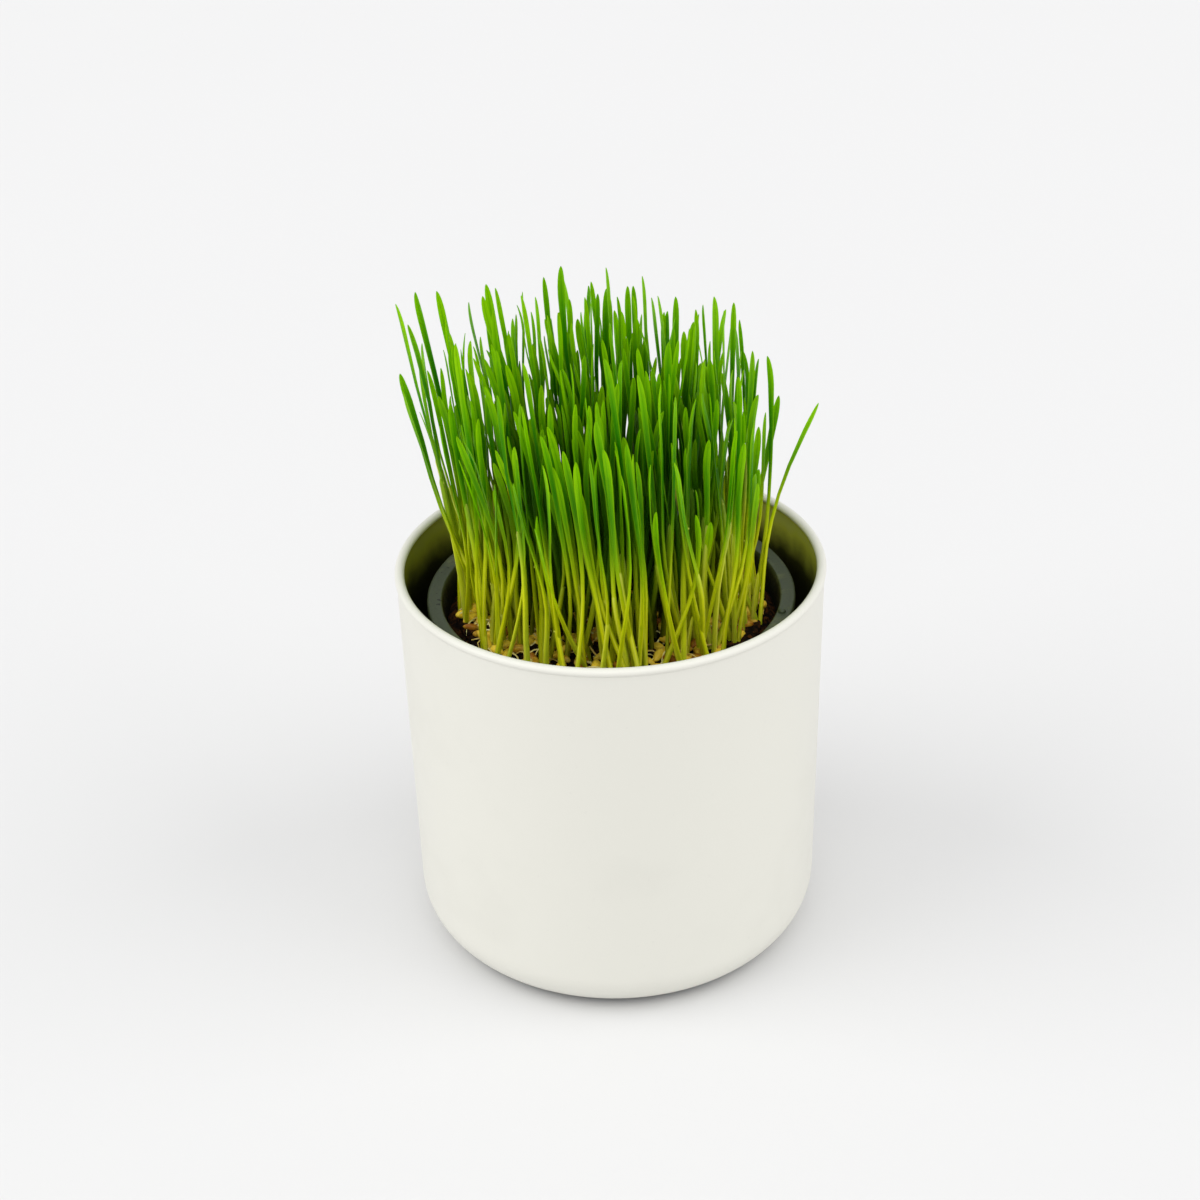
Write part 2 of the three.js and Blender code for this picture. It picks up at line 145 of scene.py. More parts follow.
class TurfSettings(bpy.types.PropertyGroup):
    """The wheat seedlings."""

    leaf_thickness: a_length("Leaf", "Thickness of a leaf", 0.4)
    tip: a_length("Tip", "Length over which a leaf narrows", 9.5)
    fold: a_number("Fold", "How deep a leaf is folded, to its half width", 0.55)
    sheathed: a_number("Sheathed", "Share of shoots whose sheath shows", 0.6, max=1.0)
    sheath_low: a_length("Shortest sheath", "Above the mat", 10)
    sheath_high: a_length("Tallest sheath", "Above the mat", 52)
    added: a_count("Added shoots", "Thin shoots in each clump beyond its solid's", 9)
    spikes: a_count("Spikes", "Late shoots in each clump", 2)
    grains: a_count("Grains", "Grains in each clump", 17, least=4)
    rootlets: a_count("Rootlets", "Rootlets in each clump", 26)
    crumbs: a_count("Crumbs", "Soil crumbs in each clump", 30)
    stem: a_colour("Stem", "Colour low on the shoots", 0.94, 0.90, 0.008)
    green: a_colour("Green", "Colour of the leaves", 0.025, 0.40, 0.0005)
    tip_green: a_colour("Tip green", "Colour of the leaf tips", 0.50, 0.86, 0.001)
    sheath: a_colour("Sheath", "Colour of the pale sheaths", 0.97, 0.99, 0.17)
    grain: a_colour("Grain", "Colour of the grains", 0.98, 0.69, 0.05)
    grain_dark: a_colour("Dark grain", "Colour of the soaked grains", 0.36, 0.12, 0.005)
    root: a_colour("Root", "Colour of the rootlets", 0.98, 0.90, 0.36)


class StageSettings(bpy.types.PropertyGroup):
    """The floor, the light and the camera."""

    floor: a_colour("Floor", "Colour of the floor", 0.74, 0.74, 0.738)
    sky: a_colour("Sky", "Colour of the soft light", 0.99, 0.99, 1.0)
    sky_strength: a_number("Sky strength", "Strength of that light", 0.71)
    left_strength: a_number("Left key", "Strength of the left light", 1.13)
    right_strength: a_number("Right key", "Strength of the right light", 0.92)
    top_strength: a_number("Top key", "Strength of the light above the front", 0.58)
    key_width: a_number("Key width", "How wide each of the three looks", math.radians(50), subtype="ANGLE")


# Shader maths


class Shade:
    """A shader socket that Python's arithmetic works on, by adding Math nodes."""

    def __init__(self, recipe, socket):
        self.recipe = recipe
        self.socket = socket

    def __add__(self, other):
        return self.recipe.reckon("ADD", self, other)

    __radd__ = __add__

    def __sub__(self, other):
        return self.recipe.reckon("SUBTRACT", self, other)

    def __rsub__(self, other):
        return self.recipe.reckon("SUBTRACT", other, self)

    def __mul__(self, other):
        return self.recipe.reckon("MULTIPLY", self, other)

    __rmul__ = __mul__

    def __pow__(self, other):
        return self.recipe.reckon("POWER", self, other)

    def __rpow__(self, other):
        return self.recipe.reckon("POWER", other, self)


class Recipe:
    """The nodes of one material."""

    def __init__(self, name):
        self.material = bpy.data.materials.new(name)
        self.material.use_nodes = True
        self.tree = self.material.node_tree
        self.tree.nodes.clear()

    def add(self, kind, settings=None, values=None, output=None):
        """Adds a node, sets it up, fills its sockets, by name or by place, and gives one of its outputs."""
        made = self.tree.nodes.new("ShaderNode" + kind)
        for name, value in (settings or {}).items():
            if name == "stops":
                self.set_stops(made.color_ramp, value)
            else:
                setattr(made, name, value)
        inputs = [socket for socket in made.inputs if socket.enabled]
        for key, value in (values or {}).items():
            socket = inputs[key] if isinstance(key, int) else next(s for s in inputs if s.name == key)
            if isinstance(value, Shade):
                self.tree.links.new(value.socket, socket)
            elif socket.type == "RGBA":
                socket.default_value = (*value, 1.0)
            else:
                socket.default_value = value
        outputs = [socket for socket in made.outputs if socket.enabled]
        chosen = next((s for s in outputs if s.name == output), outputs[0] if outputs else None)
        return Shade(self, chosen)

    def set_stops(self, ramp, stops):
        while len(ramp.elements) < len(stops):
            ramp.elements.new(1.0)
        for element, (position, colour) in zip(ramp.elements, stops):
            element.position = position
            element.color = (*colour, 1.0)

    def reckon(self, operation, *values):
        return self.add("Math", {"operation": operation}, dict(enumerate(values)))

    def attribute(self, name):
        return self.add("Attribute", {"attribute_name": name}, output="Fac")

    def place(self, axis):
        """How far along X, Y or Z a point lies in the object."""
        return self.add("SeparateXYZ", None, {"Vector": self.add("TexCoord", output="Object")}, output=axis)

    def noise(self, scale, detail, roughness=0.5):
        vector = self.add("TexCoord", output="Object")
        values = {"Vector": vector, "Scale": scale, "Detail": detail, "Roughness": roughness}
        return self.add("TexNoise", None, values, output="Fac")

    def ramp(self, value, stops):
        return self.add("ValToRGB", {"stops": stops}, {0: value}, output="Color")

    def span(self, value, low, high, new_low=0.0, new_high=1.0):
        """A value carried smoothly from one range to another, and held at its ends."""
        values = {0: value, 1: low, 2: high, 3: new_low, 4: new_high}
        return self.add("MapRange", {"interpolation_type": "SMOOTHSTEP"}, values)

    def fall(self, value, low, high):
        """1 up to the low end of a range and 0 from its high end."""
        return self.span(value, low, high, 1.0, 0.0)

    def blotches(self, low, high, scale, detail, roughness=0.5):
        """Patches where a noise rises from low to high."""
        return self.span(self.noise(scale, detail, roughness), low, high)

    def mix(self, factor, first, second, blend="MIX"):
        settings = {"data_type": "RGBA", "blend_type": blend, "clamp_result": True}
        return self.add("Mix", settings, {"Factor": factor, "A": first, "B": second})

    def bump(self, height, depth, strength):
        return self.add("Bump", None, {"Height": height, "Distance": depth, "Strength": strength})

    def relief(self, depth, strength, scale, detail, roughness=0.5):
        """The fine relief of a skin."""
        return self.bump(self.noise(scale, detail, roughness), depth, strength)

    def principled(self, **values):
        return self.add("BsdfPrincipled", None, {name.replace("_", " "): v for name, v in values.items()})

    def finish(self, surface):
        self.add("OutputMaterial", None, {"Surface": surface})
        return self.material


# Materials

# Where colour and shade change, in metres: above the ground, below a pot's top, along X, or from the axis
CONTACT_SHADOW_HEIGHTS = (0.0012, 0.0034)
PAINTED_SHADE_BELOW_TOP = (0.026, 0.002)
SHADED_SIDE = (-0.066, -0.045)
SHADE_BELOW_RING_TOP = (0.003, 0.0008)
GREENING = (0.115, 0.193)
TONES_PART = (0.140, 0.175)
SWARD_MIDDLE = (0.028, 0.046)
SWARD_DEPTH = (0.158, 0.210)
SWARD_FLOOR = (0.118, 0.146)

# Colours that dirt and age lay over those of the settings, and the near black of the painted contact shadow
# at the cover pot's foot
SPECK = (0.5, 0.49, 0.45)
PAINTED_CONTACT_SHADOW = (0.008, 0.009, 0.004)
GERM = (0.95, 0.78, 0.16)
AGED_ROOT = (0.62, 0.42, 0.06)

# Tints that a colour is multiplied by; those named shade are painted shade
SIDE_SHADE = (0.3, 0.32, 0.1)
DARK_TONE = (0.15, 0.6, 0.6)
LIGHT_TONE = (0.9, 1.0, 1.0)
RIB_SHADE = (0.35, 0.6, 1.0)
FLANK_SHADE = (0.33, 0.46, 0.1)
FOOT_SHADE = (0.045, 0.05, 0.05)
SWARD_SHADE = (0.035, 0.24, 0.1)
LEAF_GLOW = (1.0, 1.0, 0.3)
LEAF_GLOSS = (0.8, 1.0, 0.15)

# The powder coat's relief: depth, strength, scale and detail
COAT_RELIEF = (0.00004, 0.5, 1500.0, 2.0)


def blend(first, second, share):
    """A colour between two, by the share of the second."""
    return [a + (b - a) * share for a, b in zip(first, second)]


def dim(colour, share):
    return [share * c for c in colour]


def paint_outside(colours):
    """White powder coat with a very fine relief, faint smudges from handling, and a painted contact shadow
    that darkens it along the ground.
    """
    r = Recipe("white_powder_coat")
    smudge = r.blotches(0.52, 0.74, scale=28.0, detail=3.0)
    speck = r.blotches(0.73, 0.79, scale=700.0, detail=1.0)
    colour = r.mix(smudge * 0.5, colours.paint, dim(colours.paint, 0.955))
    colour = r.mix(speck * 0.1, colour, SPECK)
    # Painted shade: the coat goes near black within a few millimetres of the ground, for the contact shadow
    # under the foot
    colour = r.mix(r.fall(r.place("Z"), *CONTACT_SHADOW_HEIGHTS), colour, PAINTED_CONTACT_SHADOW)
    surface = r.principled(
        Base_Color=colour,
        Roughness=0.42 + smudge * 0.12,
        Specular_IOR_Level=0.4,
        Normal=r.relief(*COAT_RELIEF),
    )
    return r.finish(surface)


def paint_inside(colours):
    """The same coat inside, olive and darker the deeper it is below the rim: painted green light reflected
    off the turf and painted shade, with more painted shade on its left side.
    """
    r = Recipe("inner_powder_coat")
    blotch = r.noise(90.0, 3.0)
    low, high = (cover_high.z - below for below in PAINTED_SHADE_BELOW_TOP)
    # Painted shade: the coat inside darkens to near black the deeper it lies below the rim
    stops = [
        (0.0, dim(colours.inner_bounce_and_shade, 0.03)),
        (0.3, dim(colours.inner_bounce_and_shade, 0.08)),
        (0.6, dim(colours.inner_bounce_and_shade, 0.5)),
        (0.85, colours.inner_bounce_and_shade),
        (1.0, blend(colours.inner_bounce_and_shade, colours.paint, 0.15)),
    ]
    colour = r.ramp(r.span(r.place("Z") + (blotch - 0.5) * 0.01, low, high), stops)
    colour = r.mix(r.fall(r.place("X"), *SHADED_SIDE) * 0.7, colour, SIDE_SHADE, "MULTIPLY")
    surface = r.principled(
        Base_Color=colour,
        Roughness=0.45 + blotch * 0.15,
        Specular_IOR_Level=0.3,
        Normal=r.relief(*COAT_RELIEF),
    )
    return r.finish(surface)


def pot_plastic(colours):
    """Dark recycled plastic with a matt moulded skin, dull with dried splashes, and painted shade that
    darkens it below the top of its ring.
    """
    r = Recipe("nursery_plastic")
    splash = r.blotches(0.48, 0.68, scale=160.0, detail=4.0, roughness=0.6)
    wear = r.blotches(0.55, 0.75, scale=900.0, detail=2.0)
    dirt = r.blotches(0.66, 0.7, scale=330.0, detail=3.0, roughness=0.6)
    # Painted shade: below the top of the ring the plastic goes much darker, where the pot's mouth and walls
    # lie in shade
    below_ring_shade = r.fall(r.place("Z"), *(nursery_high.z - below for below in SHADE_BELOW_RING_TOP))
    colour = r.mix(splash, colours.plastic, colours.dust)
    colour = r.mix(wear * 0.35, colour, dim(colours.plastic, 0.4))
    colour = r.mix(dirt, colour, dim(colours.plastic, 0.1))
    colour = r.mix(below_ring_shade, colour, dim(colours.plastic, 0.12))
    surface = r.principled(
        Base_Color=colour,
        Roughness=0.5 + splash * 0.25,
        Specular_IOR_Level=0.4,
        Normal=r.relief(0.00006, 0.6, scale=2600.0, detail=3.0),
    )
    return r.finish(surface)


def potting_soil(colours):
    """Dark wet soil with paler dry crumbs."""
    r = Recipe("potting_soil")
    dry = r.span(r.noise(420.0, 4.0, 0.65) + r.attribute("tint") * 0.3, 0.45, 0.9)
    surface = r.principled(
        Base_Color=r.mix(dry, colours.dark, colours.light),
        Roughness=0.95 - dry * 0.1,
        Specular_IOR_Level=0.12,
        Normal=r.relief(0.0004, 0.9, scale=1500.0, detail=5.0, roughness=0.7),
    )
    return r.finish(surface)


def grain_skin(colours):
    """Bran of a soaked wheat grain: amber, brown where it has soaked, pale at the germ, and wrinkled."""
    r = Recipe("wheat_grain")
    mottle = r.noise(650.0, 3.0, 0.6)
    soaked = r.span(r.attribute("tint") * 0.8 + mottle * 0.5, 0.55, 1.05)
    germ = r.span(r.attribute("along"), 0.72, 1.0)
    colour = r.mix(soaked, colours.grain, colours.grain_dark)
    surface = r.principled(
        Base_Color=r.mix(germ * 0.6, colour, GERM),
        Roughness=0.36 + mottle * 0.2,
        Specular_IOR_Level=0.3,
        Normal=r.relief(0.0001, 0.8, scale=1800.0, detail=3.0),
    )
    return r.finish(surface)


def rootlet_skin(colours):
    """White roots that go cream with age."""
    r = Recipe("rootlet")
    aged = r.span(r.attribute("tint") + (r.noise(300.0, 2.0) - 0.5) * 0.5, 0.2, 1.0)
    colour = r.mix(aged, colours.root, AGED_ROOT)
    return r.finish(r.principled(Base_Color=colour, Roughness=0.45, Specular_IOR_Level=0.5))


def shoot_green(r, colours, along, tint):
    """A shoot's colour at each height, its tone, and the lime of its tip. The tones that differ from leaf to
    leaf are partly the leaves' own and partly painted light and shade, for lit and shaded leaves; the lime
    tips are partly their own colour and partly painted light from above.
    """
    height = r.place("Z")
    rising = height + (r.noise(31.0, 1.0) - 0.5) * 0.036 + (tint - 0.5) * 0.016
    climb = r.add("MapRange", None, {0: rising, 1: GREENING[0], 2: GREENING[1]})
    stops = [
        (0.0, blend(colours.sheath, colours.stem, 0.8)),
        (0.2, colours.stem),
        (0.42, blend(colours.stem, colours.green, 0.12)),
        (0.6, blend(colours.stem, colours.green, 0.5)),
        (0.78, blend(colours.stem, colours.green, 0.88)),
        (1.0, colours.green),
    ]
    # Partly painted light: the tips are made lighter lime, as where light from above falls on them
    tipward = r.span(along + (tint - 0.5) * 0.12, 0.66, 1.0)
    colour = r.mix(tipward * 0.85, r.ramp(climb, stops), colours.tip_green)
    # Partly painted light and shade: a darker or lighter tone for each leaf, drawn at random, stands for
    # shaded and lit leaves
    toned = r.span(height, *TONES_PART, 0.2, 1.0) * (1 - tipward * 0.6)
    return r.mix(toned, colour, r.mix(tint, DARK_TONE, LIGHT_TONE), "MULTIPLY")


def shoot_marks(r, colours, colour, along, across, patchy, vein):
    """Patches and veins on the leaf, painted shade in the fold along its rib and painted light along its
    edges; painted shade on the stem's flanks and a painted highlight in a line along the stem.
    """
    aside = r.reckon("ABSOLUTE", across)
    off_highlight_line = r.reckon("ABSOLUTE", across - 0.25)
    leaf = r.span(along, 0.35, 0.6)
    marks = [
        (r.span(patchy, 0.5, 0.8) * 0.2, dim(colours.green, 0.6), "MIX"),
        (r.span(vein, 0.2, 1.0) * 0.16, colours.tip_green, "MIX"),
        # Painted shade in the fold along the leaf's rib
        (r.fall(aside, 0.05, 0.3) * leaf * 0.45, RIB_SHADE, "MULTIPLY"),
        # Painted light along the leaf's thin edges
        (r.span(aside, 0.6, 0.86) * leaf * 0.35, colours.tip_green, "MIX"),
        # Painted shade on the round stem's flanks
        (r.span(aside, 0.45, 0.9) * r.fall(along, 0.3, 0.55) * 0.5, FLANK_SHADE, "MULTIPLY"),
        # Painted highlight: a pale line along the stem
        (r.fall(off_highlight_line, 0.05, 0.3) * r.fall(along, 0.25, 0.5) * 0.36, colours.sheath, "MIX"),
    ]
    for share, laid_over, way in marks:
        colour = r.mix(share, colour, laid_over, way)
    return colour


def leaf_skin(colours):
    """Living leaf and sheath, lit through where it is thin, with painted shade deep in the sward."""
    r = Recipe("wheat_leaf")
    along, across, tint, pale = (r.attribute(name) for name in ("along", "across", "tint", "pale"))
    patchy = r.noise(240.0, 3.0)
    vein = r.reckon("SINE", across * 22.0)
    height = r.place("Z")
    away = (r.place("X") ** 2 + r.place("Y") ** 2) ** 0.5
    # Painted shade: shoots near the axis and low in the sward go dark, dark green higher up and brown-black
    # near the mat
    deep = r.fall(away, *SWARD_MIDDLE) * r.fall(height, *SWARD_DEPTH)
    # The sheath's own pale colour, laid on strongest along its middle as a painted highlight, and held back
    # in the painted shade deep in the sward
    facing = r.span(r.reckon("ABSOLUTE", across), 0.15, 0.75, 1.0, 0.3)
    colour = shoot_green(r, colours, along, tint)
    colour = shoot_marks(r, colours, colour, along, across, patchy, vein)
    colour = r.mix(pale * facing * (1 - deep * 0.75), colour, colours.sheath)
    shadow = r.mix(r.span(height, *SWARD_FLOOR), FOOT_SHADE, SWARD_SHADE)
    colour = r.mix(deep * 0.92, colour, shadow, "MULTIPLY")
    normal = r.bump(vein * 0.5 + patchy, 0.00006, 0.6)
    skin = r.principled(
        Base_Color=colour,
        Roughness=0.3 + patchy * 0.2,
        Specular_IOR_Level=0.4,
        Specular_Tint=LEAF_GLOSS,
        Normal=normal,
    )
    glow = r.mix(1.0, colour, LEAF_GLOW, "MULTIPLY")
    through = r.add("BsdfTranslucent", None, {"Color": glow, "Normal": normal})
    thin = r.span(along, 0.3, 0.6, 0.15, 0.45)
    return r.finish(r.add("MixShader", None, {0: thin, 1: skin, 2: through}))


def floor_paper(colours):
    """Smooth white paper."""
    r = Recipe("white_paper")
    colour = r.mix(r.noise(2.2, 2.0), colours.floor, dim(colours.floor, 0.985))
    return r.finish(r.principled(Base_Color=colour, Roughness=0.75, Specular_IOR_Level=0.2))


# Modelling

# What the materials read at each vertex: a copy's own shade, how far along and across it, and its paleness
PLAIN = {"tint": 0.0, "along": 0.0, "across": 0.0, "pale": 0.0}


@contextlib.contextmanager
def editing():
    """Edit mode, for as long as a block lasts."""
    bpy.ops.object.mode_set(mode="EDIT")
    yield
    bpy.ops.object.mode_set(mode="OBJECT")


def deselect():
    bpy.ops.object.select_all(action="DESELECT")


def around(radius, angle):
    """A point at a radius and an angle about the origin."""
    return radius * math.cos(angle), radius * math.sin(angle)


def arc(centre, radius, start, end, steps):
    """Points on an arc in a profile, ends included, with its angles in degrees."""
    angles = [math.radians(start + (end - start) * i / steps) for i in range(steps + 1)]
    return [(centre[0] + radius * math.cos(a), centre[1] + radius * math.sin(a)) for a in angles]


def turned_piece(name, profile, sides):
    """A solid turned about the Z axis: one ring, extruded and resized from point to point of its profile."""
    deselect()
    radius, height = profile[0]
    bpy.ops.mesh.primitive_circle_add(
        vertices=sides, radius=radius, fill_type="NGON", location=(0, 0, height)
    )
    piece = bpy.context.object
    piece.name = name
    piece.data.name = name
    with editing():
        for next_radius, next_height in profile[1:]:
            bpy.ops.mesh.extrude_region_move(TRANSFORM_OT_translate={"value": (0, 0, next_height - height)})
            scale = next_radius / radius
            bpy.ops.transform.resize(value=(scale, scale, 1), center_override=(0, 0, next_height))
            radius, height = next_radius, next_height
        bpy.ops.mesh.select_all(action="SELECT")
        bpy.ops.mesh.normals_make_consistent(inside=False)
    bpy.ops.object.transform_apply(location=True, rotation=True, scale=True)
    return piece


def apply_modifier(piece, kind, **settings):
    modifier = piece.modifiers.new(kind.title(), kind)
    for name, value in settings.items():
        setattr(modifier, name, value)
    bpy.context.view_layer.objects.active = piece
    bpy.ops.object.modifier_apply(modifier=modifier.name)


def smooth(piece, degrees):
    """Shades a piece smooth, except over edges sharper than an angle."""
    deselect()
    piece.select_set(True)
    bpy.context.view_layer.objects.active = piece
    bpy.ops.object.shade_smooth_by_angle(angle=math.radians(degrees))


def join_into(name, parts):
    """Joins copies into one piece."""
    deselect()
    for part in parts:
        part.select_set(True)
    bpy.context.view_layer.objects.active = parts[0]
    bpy.ops.object.join()
    piece = bpy.context.object
    piece.name = name
    piece.data.name = name
    return piece


def coordinates(piece):
    co = np.empty(len(piece.data.vertices) * 3)
    piece.data.vertices.foreach_get("co", co)
    return co.reshape(-1, 3)


def set_values(piece, **values):
    """Stores what the materials read: a value, or a list of values, for each vertex under each name."""
    count = len(piece.data.vertices)
    for name, value in {**PLAIN, **values}.items():
        attribute = piece.data.attributes.get(name) or piece.data.attributes.new(name, "FLOAT", "POINT")
        attribute.data.foreach_set("value", np.broadcast_to(np.asarray(value, dtype=float), count).copy())


def copy_of(shape, places, **values):
    """A copy of a shape, with a mesh of its own, its vertices put in new places in millimetres."""
    made = shape.copy()
    made.data = shape.data.copy()
    made.data.vertices.foreach_set("co", (places * MM).astype(np.float32).ravel())
    bpy.context.scene.collection.objects.link(made)
    set_values(made, **values)
    return made


def unit(vectors):
    return vectors / np.linalg.norm(vectors, axis=1)[:, None]


class RodShape:
    """A rod modelled once, one unit thick, with its rings a unit apart. Copies of it follow paths."""

    def __init__(self, name, sides, rings, material, turned=0.0):
        self.piece = turned_piece(name, [(1.0, float(ring)) for ring in range(rings)], sides)
        self.piece.data.materials.append(material)
        co = coordinates(self.piece)
        self.across = co[:, 0] * math.cos(turned) - co[:, 1] * math.sin(turned)
        self.deep = co[:, 0] * math.sin(turned) + co[:, 1] * math.cos(turned)
        self.ring = np.rint(co[:, 2]).astype(int)

    def along(self, points, facing, widths, depths, folds=0.0, **values):
        """A copy with its rings at points, and an angle to face, half width, half depth and fold at each."""
        count = len(points)
        ring = self.ring
        facing, widths, depths, folds = (np.broadcast_to(v, count) for v in (facing, widths, depths, folds))
        forward = unit(np.gradient(points, axis=0))
        side = np.stack([np.cos(facing), np.sin(facing), np.zeros(count)], axis=1)
        side = unit(side - (side * forward).sum(1)[:, None] * forward)
        front = np.cross(forward, side)
        x = self.across * widths[ring]
        y = self.deep * depths[ring] + np.abs(x) * folds[ring]
        places = points[ring] + x[:, None] * side[ring] + y[:, None] * front[ring]
        values = {"along": np.arange(count) / (count - 1), **values}
        values = {name: np.broadcast_to(value, count)[ring] for name, value in values.items()}
        return copy_of(self.piece, places, across=self.across, **values)


# The turf's rule, in millimetres, the same as in its solids

CLEARANCE = 0.3
MAT = {"thickness": 2.5, "radius": 51, "ragged": 1.1, "corners": 26, "crack": 0.4}
MAT_FOOT = soil_high.z / MM + CLEARANCE
MAT_TOP = MAT_FOOT + MAT["thickness"]

# Rings of clumps: how many, how far out, how far each may stray, and where the first one is, in radians
CLUMP_RINGS = [(1, 0, 0, 0), (6, 20.5, 1.4, 0.3), (12, 40.5, 1.4, 0.1)]

SWARD = {
    "blades": 300,
    "foot_radius": 49.5,
    "foot_jitter": 1.3,
    "edge_margin": 1.2,
    "root_depth": 1.6,
    "height": 82,
    "height_spread": 21,
    "shortest": 50,
    "tallest": 104,
    "back_drop": 0.3,
    "stray": 7,
    "spread_x": 0.1,
    "spread_y": 0.08,
    "left_lean": 3.5,
    "bow": 3.2,
    "bend_from": 0.9,
    "bend_to": 1.6,
}

# Heights above the mat at which a blade's place and half width are given, and its twist for each millimetre
LEVELS = [0, 25, 60, 95, 125]
HALF_WIDTHS = [0.9, 0.85, 1.3, 1.55, 1.55]
TWIST = 0.006

# Blades that stand out: foot x and y, tip x and y, height above the mat
SKYLINE = [
    (-49, 4, -64, 10, 102),
    (-45, 12, -58, 12, 105),
    (-46, -2, -60, 3, 98),
    (-39, 20, -52, 20, 102),
    (-50, -6, -63, -2, 84),
    (-32, 24, -42, 26, 96),
    (-27, 30, -38, 32, 99),
    (-24, 22, -34, 24, 101),
    (-20, 32, -26, 33, 96),
    (-12, 30, -19, 30, 102),
    (-8, 24, -13, 26, 107),
    (-4, 34, -14, 36, 101),
    (-2, 20, -6, 22, 98),
    (4, 28, 1, 29, 105),
    (2, 36, -4, 38, 97),
    (12, 26, 9, 28, 96),
    (16, 32, 12, 34, 100),
    (20, 24, 17, 24, 97),
    (24, 34, 23, 36, 92),
    (30, 26, 30, 28, 89),
    (35, 20, 34, 20, 98),
    (39, 12, 40, 12, 99),
    (42, 4, 45, 4, 86),
    (44, 12, 48, 12, 80),
    (48, 4, 54, 6, 70),
    (50, -3, 66, 2, 69),
]
SKYLINE_BEND = {"tall": 1.3, "short": 2.2, "short_below": 75}
PUSH = {"rounds": 90, "share": 0.55, "gap": 0.35, "skyline_share": 0.1, "least": 0.01}
DRAW_IN = {"steps": 40, "share": 0.04}
GRAIN = {
    "length": 6.6,
    "width": 3.5,
    "height": 3,
    "lift": 0.35,
    "germ": 0.5,
    "stem_clear": 1.1,
    "per_clump": 4,
    "tries": 160,
}

SEED = 20417
RANDOM_MULTIPLIER = 16807
RANDOM_MODULUS = 2147483647


class FixedRandom:
    """Numbers drawn in a fixed order, each from 0 to 1, as for the solids."""

    def __init__(self, seed):
        self.state = seed

    def draw(self):
        self.state = (self.state * RANDOM_MULTIPLIER) % RANDOM_MODULUS
        return self.state / RANDOM_MODULUS

    def either_way(self):
        return 2 * self.draw() - 1

    def moved(self, spot, reach):
        """A spot moved by up to a reach either way in x and in y."""
        return spot[0] + reach * self.either_way(), spot[1] + reach * self.either_way()


@dataclass(eq=False)
class Blade:
    clump: int
    foot: tuple
    height: float
    path: np.ndarray
    turn: float
    skyline: bool


def clump_centres(rng):
    centres = []
    for count, radius, jitter, start in CLUMP_RINGS:
        for i in range(count):
            centres.append(rng.moved(around(radius, start + FULL_TURN * i / count), jitter))
    return centres


def clipped(outline, normal, reach):
    """The part of a convex outline on the near side of a line."""
    past = [x * normal[0] + y * normal[1] - reach for x, y in outline]
    kept = []
    for i, p in enumerate(outline):
        following = (i + 1) % len(outline)
        q = outline[following]
        a, b = past[i], past[following]
        if a <= 0:
            kept.append(p)
        if a * b < 0:
            t = a / (a - b)
            kept.append((p[0] + (q[0] - p[0]) * t, p[1] + (q[1] - p[1]) * t))
    return kept


def clump_outlines(centres, rng):
    """Each clump's outline: what is nearer to it than to any other, within the mat's ragged round edge."""
    edge = []
    for i in range(MAT["corners"]):
        edge.append(around(MAT["radius"] - MAT["ragged"] * rng.draw(), FULL_TURN * i / MAT["corners"]))
    outlines = []
    for own in centres:
        outline = edge
        for other in centres:
            if other is own:
                continue
            apart = math.dist(own, other)
            normal = ((other[0] - own[0]) / apart, (other[1] - own[1]) / apart)
            middle = (normal[0] * (own[0] + other[0]) + normal[1] * (own[1] + other[1])) / 2
            outline = clipped(outline, normal, middle - MAT["crack"] / 2)
        outlines.append(outline)
    return outlines


def sides_of(outline):
    """The sides of an anticlockwise outline, each as a point on it and its outward direction."""
    sides = []
    for i, p in enumerate(outline):
        q = outline[(i + 1) % len(outline)]
        length = math.dist(p, q)
        sides.append((p, ((q[1] - p[1]) / length, (p[0] - q[0]) / length)))
    return sides


def depth_inside(outline, spot):
    return min((p[0] - spot[0]) * n[0] + (p[1] - spot[1]) * n[1] for p, n in sides_of(outline))


def placed_foot(spot, centres, outlines):
    """The clump that a foot belongs to, and the foot drawn in until it stands on that clump."""
    away = [math.dist(spot, centre) for centre in centres]
    clump = away.index(min(away))
    x, y = spot
    for _ in range(DRAW_IN["steps"]):
        if depth_inside(outlines[clump], (x, y)) >= SWARD["edge_margin"]:
            break
        x += (centres[clump][0] - x) * DRAW_IN["share"]
        y += (centres[clump][1] - y) * DRAW_IN["share"]
    return clump, (x, y)


def blade_path(foot, tip, height, bend, bow):
    """A blade's places at LEVELS."""
    places = []
    for z in LEVELS:
        s = z / height
        rise = s**bend
        belly = 4 * s * (1 - s)
        places.append([foot[i] + (tip[i] - foot[i]) * rise + bow[i] * belly for i in (0, 1)])
    return np.array(places)


